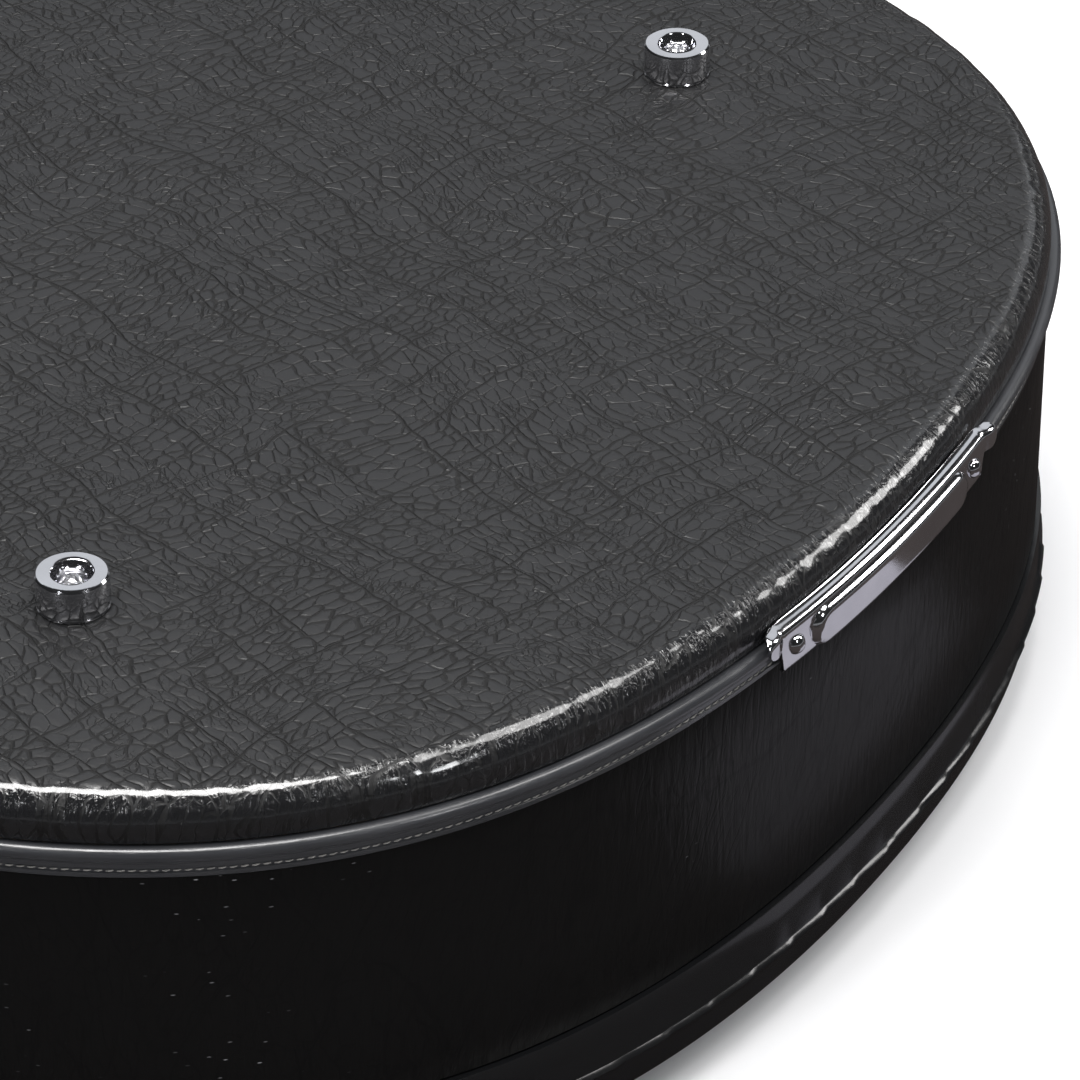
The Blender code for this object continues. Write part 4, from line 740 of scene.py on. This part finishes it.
chrome = plated_material("polished_chrome", (0.80, 0.80, 0.83), 0.05, 0.07, 0.000004)
steel = plated_material("bright_steel", (0.58, 0.58, 0.60), 0.20, 0.12, 0.000010)

PLATE_MIDDLE, PLATE_HALF = -0.011, 0.0485
PLATE_TOP, PLATE_BOTTOM = 0.1154, 0.1027
PLATE_SEAT = 0.0031
PLATE_SHEET = 0.0010
RIB_PROUD = 0.0017
RIB_HALF = 0.0340
TONGUE = 0.0042


def smooth_step(value):
    value = np.clip(value, 0.0, 1.0)
    return value * value * (3 - 2 * value)


def joint_plate():
    """Pressed sheet that follows the butt: a lip folded over the bead above, a foot against the wall
    below, a long panel pressed out between the rivets, and at each end a notch and a curled tongue."""
    reach = PLATE_HALF + TONGUE
    across = np.linspace(-reach, reach, 150)
    share = np.linspace(0.0, 1.0, 38)
    middle, tall = (PLATE_TOP + PLATE_BOTTOM) / 2, (PLATE_TOP - PLATE_BOTTOM) / 2
    point, outward = wall_at(PLATE_MIDDLE + across)
    past = np.abs(across) - PLATE_HALF
    corner = np.clip((past + 0.0080) / 0.0060, 0, 1)
    low = -tall * np.sqrt(np.clip(1 - 0.45 * corner ** 3, 0, 1))
    low = low + (0.0013 - low) * smooth_step((past + 0.0026) / 0.0020)
    tip = np.clip((past - TONGUE + 0.0030) / 0.0030, 0, 1)
    high = tall - 0.0017 * (1 - np.sqrt(np.clip(1 - tip ** 2, 0, 1)))
    low = low + 0.0014 * (1 - np.sqrt(np.clip(1 - tip ** 2, 0, 1)))
    up = low[:, None] + share[None, :] * (high - low)[:, None]
    lip_top = smooth_step((up - (tall - 0.0013)) / 0.0013)
    lip_low = smooth_step((-up - (tall - 0.0022)) / 0.0022)
    out = PLATE_SEAT - lip_top * (PLATE_SEAT - 0.0004) - lip_low * (PLATE_SEAT - 0.0016)
    panel_reach = np.hypot(np.maximum(np.abs(across)[:, None] - (RIB_HALF - 0.0034), 0.0), up + 0.0002)
    out = out + RIB_PROUD * smooth_step((0.0048 - panel_reach) / 0.0012)
    curl = smooth_step((past[:, None] + 0.0016) / 0.0040)
    out = out + curl * 0.0011
    spots = np.empty((len(across), len(share), 3))
    spots[..., :2] = point[:, None, :] + outward[:, None, :] * out[..., None]
    spots[..., 2] = middle + up
    count, width = out.shape
    mesh = bpy.data.meshes.new("piping_joint_plate_chrome")
    faces = [[i * width + k, (i + 1) * width + k, (i + 1) * width + k + 1, i * width + k + 1]
             for i in range(count - 1) for k in range(width - 1)]
    mesh.from_pydata(spots.reshape(-1, 3).tolist(), [], faces)
    piece = bpy.data.objects.new("piping_joint_plate_chrome", mesh)
    bpy.context.scene.collection.objects.link(piece)
    pick(piece)
    thicken = piece.modifiers.new("Sheet", "SOLIDIFY")
    thicken.thickness = PLATE_SHEET
    thicken.offset = 1.0
    bpy.ops.object.modifier_apply(modifier="Sheet")
    bpy.ops.object.shade_smooth_by_angle(angle=math.radians(50))
    return piece


settle(joint_plate(), "shell", "chrome", chrome, "piping_joint_plate")


def turned(name, profile, spot, steps=48):
    """A turned piece: its half profile, from axis to axis, spun round a vertical line."""
    mesh = bpy.data.meshes.new(name)
    points = [(spot[0] + r, spot[1], spot[2] + z) for r, z in profile]
    mesh.from_pydata(points, [(i, i + 1) for i in range(len(points) - 1)], [])
    piece = bpy.data.objects.new(name, mesh)
    bpy.context.scene.collection.objects.link(piece)
    pick(piece)
    bpy.ops.object.mode_set(mode="EDIT")
    bpy.ops.mesh.select_all(action="SELECT")
    bpy.ops.mesh.spin(steps=steps, angle=2 * math.pi, center=spot, axis=(0, 0, 1), use_auto_merge=True)
    bpy.ops.mesh.select_all(action="SELECT")
    bpy.ops.mesh.remove_doubles(threshold=0.000005)
    bpy.ops.mesh.normals_make_consistent(inside=False)
    bpy.ops.object.mode_set(mode="OBJECT")
    bpy.ops.object.shade_smooth_by_angle(angle=math.radians(30))
    return piece


FOOT_SPOTS = ((0.4005, -0.138), (0.4005, 0.138), (0.0715, -0.100), (0.0715, 0.100))
FOOT_PROFILE = ((0.0, 0.0040), (0.0030, 0.0040), (0.0034, 0.0043), (0.00465, 0.0082), (0.0049, 0.0086),
                (0.0053, 0.0088), (0.0074, 0.0088), (0.0080, 0.00865), (0.0084, 0.0082), (0.0085, 0.0076),
                (0.0085, 0.0016), (0.0083, 0.0012), (0.0083, 0.0008), (0.0085, 0.0005), (0.0084, 0.0002),
                (0.0, 0.0002))
SCREW_PROFILE = ((0.0, 0.0076), (0.0008, 0.00755), (0.0016, 0.0073), (0.0023, 0.0067), (0.00275, 0.0059),
                 (0.00285, 0.0052), (0.00285, 0.0042), (0.0, 0.0042))
SLOT_SIZE = (0.0042, 0.0009, 0.0016)

for number, (x, y) in enumerate(FOOT_SPOTS, 1):
    foot = turned(f"foot_{number}_chrome", FOOT_PROFILE, (x, y, BACK))
    settle(foot, "shell", "chrome", chrome, f"foot_{number}")
    screw = turned(f"foot_screw_{number}_steel", SCREW_PROFILE, (x, y, BACK), 32)
    deselect()
    turn = 0.5 + 0.9 * number
    for quarter in (0, 1):
        bpy.ops.mesh.primitive_cube_add(size=1.0, location=(x, y, BACK + 0.0076), scale=SLOT_SIZE,
                                        rotation=(0, 0, turn + quarter * math.pi / 2))
        slot = bpy.context.object
        cut = screw.modifiers.new("Slot", "BOOLEAN")
        cut.operation = "DIFFERENCE"
        cut.object = slot
        pick(screw)
        bpy.ops.object.modifier_apply(modifier="Slot")
        bpy.data.objects.remove(slot)
    settle(screw, "shell", "steel", steel, f"foot_screw_{number}")

RIVET_PROFILE = ((0.0, 0.00175), (0.0007, 0.0017), (0.0014, 0.0014), (0.0020, 0.0009), (0.0024, 0.0004),
                 (0.0025, 0.0), (0.0, 0.0))
for number, sign in enumerate((-1, 1), 1):
    rivet = turned(f"plate_rivet_{number}_chrome", RIVET_PROFILE, (0, 0, 0), 24)
    point, outward = wall_at(PLATE_MIDDLE + sign * PLATE_HALF * 0.86)
    seat = Vector((*(point + outward * (PLATE_SEAT + PLATE_SHEET)), (PLATE_TOP + PLATE_BOTTOM) / 2 + 0.0002))
    facing = Vector((*outward, 0)).to_track_quat("Z", "Y").to_matrix().to_4x4()
    rivet.data.transform(Matrix.Translation(seat) @ facing)
    settle(rivet, "shell", "chrome", chrome, f"plate_rivet_{number}")


# The padding: thin foam under black short-pile plush, glued into the shell and the lid. The bolster
# runs round the wall, and its pile shows as a soft nap with lighter and darker strokes.
plush, tree, shader = new_material("black_plush", (0.012, 0.012, 0.014), 0.92, Sheen_Weight=0.7,
                                   Sheen_Roughness=0.45)
place = object_place(tree)
nap = add_node(tree, "TexNoise", {"Vector": place, "Scale": 24.0, "Detail": 5.0, "Roughness": 0.65})
pile = add_node(tree, "TexNoise", {"Vector": place, "Scale": 1500.0, "Detail": 3.0, "Roughness": 0.7})
tuft = add_node(tree, "TexVoronoi", {"Vector": place, "Scale": 1100.0})
shade = calc(tree, "MULTIPLY", ramp(tree, nap.outputs["Fac"], 0.35, 0.68), pile.outputs["Fac"])
tree.links.new(blend_colours(tree, shade, (0.007, 0.007, 0.009), (0.045, 0.044, 0.050)),
               shader.inputs["Base Color"])
tree.links.new(ramp(tree, nap.outputs["Fac"], 0.3, 0.7, 0.98, 0.86), shader.inputs["Roughness"])
fuzz = calc(tree, "ADD", pile.outputs["Fac"], calc(tree, "MULTIPLY", tuft.outputs["Distance"], 0.8))
bump(tree, shader, fuzz, 0.0006, 0.9)

WALL_IN = -0.0065
bolster_section = [(WALL_IN, 0.1170), (WALL_IN, 0.0480), (WALL_IN - 0.0030, 0.0476)]
bolster_section += [(WALL_IN - 0.0110, 0.0480), (WALL_IN - 0.0150, 0.0512), (WALL_IN - 0.0176, 0.0570),
                    (WALL_IN - 0.0192, 0.0660), (WALL_IN - 0.0202, 0.0780), (WALL_IN - 0.0205, 0.0880),
                    (WALL_IN - 0.0196, 0.0990), (WALL_IN - 0.0178, 0.1060), (WALL_IN - 0.0175, 0.1110),
                    (WALL_IN - 0.0175, 0.1170)]


def puckers(walked, offset, level):
    """Shallow gathers of the plush, deepest along the bolster's lower edge where it is tucked in."""
    gather = np.array([noise.noise((w / 0.021, 2.0, 7.0)) + 0.5 * noise.noise((w / 0.009, 8.0, 1.0))
                       for w in walked])
    weight = np.array([0, 0, 0.1, 0.5, 1.0, 1.0, 0.8, 0.6, 0.5, 0.6, 0.8, 0.5, 0.0])
    return offset + 0.0009 * gather[:, None] * weight, level


rows, _ = rings_round(bolster_section, 0.004, puckers)
bolster = settle(shell_piece("side_bolster_plush", rows), "shell", "plush", plush, "side_bolster")

back_pad_edge = [(-0.0306, 0.1090), (-0.0290, 0.1091), (-0.0272, 0.1102), (-0.0258, 0.1122), (-0.0256, 0.1140),
                 (-0.0262, 0.1170)]
rows, _ = rings_round(back_pad_edge, 0.004)
back_pad = shell_piece("back_pad_plush", rows, closed=False, fill=True)
settle(back_pad, "shell", "plush", plush, "back_pad")

pad_under = drawn_rows(-0.0056, arched(0.0060, False), 0.005)
lid_pad_edge = [(-0.0056, 0.0170), (-0.0060, 0.0192), (-0.0072, 0.0212), (-0.0094, 0.0223), (-0.0120, 0.0227)]
rows, _ = rings_round(lid_pad_edge, 0.005)
lid_pad = shell_piece("lid_pad_plush", np.concatenate([pad_under, rows], 1), closed=False, fill=True)
settle(lid_pad, "lid", "plush", plush, "lid_pad")


# The neck fittings: a padded cradle with a round notch for the neck, and behind it the accessory box,
# plush over thin board, closed by a padded flap with a ribbon tab.
def padded_block(name, low, high, swell):
    """A soft block: a cube at its place with its edges rounded."""
    size = high - low
    deselect()
    bpy.ops.mesh.primitive_cube_add(size=1.0, location=(low + high) / 2, scale=size)
    piece = bpy.context.object
    piece.name = name
    bpy.ops.object.transform_apply(location=True, rotation=False, scale=True)
    soften = piece.modifiers.new("Round", "BEVEL")
    soften.width = swell
    soften.segments = 4
    bpy.ops.object.modifier_apply(modifier="Round")
    bpy.ops.object.shade_smooth()
    return piece


def cad_copy(name, node, rounding, angle=40):
    """A copy of a rigid node's shape with its loose triangles merged and its edges eased."""
    piece = bpy.data.objects.new(name, cad[node].data.copy())
    bpy.context.scene.collection.objects.link(piece)
    pick(piece)
    bpy.ops.object.mode_set(mode="EDIT")
    bpy.ops.mesh.select_all(action="SELECT")
    bpy.ops.mesh.remove_doubles(threshold=0.00001)
    bpy.ops.mesh.dissolve_limited(angle_limit=math.radians(1))
    bpy.ops.object.mode_set(mode="OBJECT")
    ease = piece.modifiers.new("Eased", "BEVEL")
    ease.width = rounding
    ease.segments = 3
    ease.limit_method = "ANGLE"
    ease.angle_limit = math.radians(angle)
    ease.use_clamp_overlap = True
    bpy.ops.object.modifier_apply(modifier="Eased")
    bpy.ops.object.shade_smooth_by_angle(angle=math.radians(40))
    return piece


cradle = settle(cad_copy("neck_cradle_plush", "neck_cradle", 0.0024), "shell", "plush", plush, "neck_cradle")
box = cad_copy("accessory_box_plush", "accessory_box", 0.0010)
settle(box, "shell", "plush", plush, "accessory_box")
low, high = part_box("accessory_flap")
flap = padded_block("accessory_flap_plush", low, high, 0.0021)
settle(flap, "flap", "plush", plush, "accessory_flap")

ribbon, tree, shader = new_material("black_ribbon", (0.016, 0.016, 0.018), 0.5)
place = object_place(tree)
ribs = add_node(tree, "TexWave", {"Vector": place, "Scale": 420.0, "Distortion": 0.3}, bands_direction="X")
tree.links.new(ramp(tree, ribs.outputs["Fac"], 0.0, 1.0, 0.55, 0.38), shader.inputs["Roughness"])
tree.links.new(blend_colours(tree, ribs.outputs["Fac"], (0.010, 0.010, 0.012), (0.030, 0.030, 0.033)),
               shader.inputs["Base Color"])
bump(tree, shader, ribs.outputs["Fac"], 0.0001)
settle(cad_copy("flap_tab_ribbon", "flap_tab", 0.0003), "flap", "ribbon", ribbon, "flap_tab")


# The hinges, latches and handle brackets: pressed and riveted steel, chromed, with eased edges. The
# hinge and handle pins are plain bright steel.
for number in (1, 2):
    for leaf, body in (("hinge_lid_leaf", "lid"), ("hinge_shell_leaf", "shell")):
        node = f"{leaf}_{number}"
        settle(cad_copy(f"{node}_chrome", node, 0.0002), body, "chrome", chrome, node)
    node = f"handle_bracket_{number}"
    settle(cad_copy(f"{node}_chrome", node, 0.0002), "shell", "chrome", chrome, node)
    cad[f"hinge_pin_{number}"].material_slots[0].material = steel
    cad[f"handle_pin_{number}"].material_slots[0].material = steel
for number in (1, 2, 3, 4):
    for kind, body in (("base", "shell"), ("lever", f"lever_{number}"), ("claw", f"claw_{number}"),
                       ("catch", "lid")):
        node = f"latch_{kind}_{number}"
        settle(cad_copy(f"{node}_chrome", node, 0.00018), body, "chrome", chrome, node)


# The handle's grip: moulded black plastic over a steel strap, bowed and thick in the middle, with a
# fine leather grain and a parting line.
grip_plastic, tree, shader = new_material("moulded_grip", (0.014, 0.014, 0.015), 0.45)
place = object_place(tree)
marks = use_group(tree, soil, Place=place, Size=50.0)
fine_cells = add_node(tree, "TexVoronoi", {"Vector": place, "Scale": 620.0}, feature="DISTANCE_TO_EDGE")
cell_depth = ramp(tree, fine_cells.outputs["Distance"], 0.0, 0.12)
tree.links.new(ramp(tree, marks["Smudge"], 0.0, 1.0, 0.34, 0.52), shader.inputs["Roughness"])
# Painted shade: the base colour is darker down in the grain's grooves, where the bump is low.
tree.links.new(blend_colours(tree, cell_depth, (0.008, 0.008, 0.009), (0.017, 0.017, 0.018)),
               shader.inputs["Base Color"])
bump(tree, shader, cell_depth, 0.00018)
settle(cad_copy("handle_grip_moulded", "handle_grip", 0.0004), "handle", "grip", grip_plastic, "handle_grip")
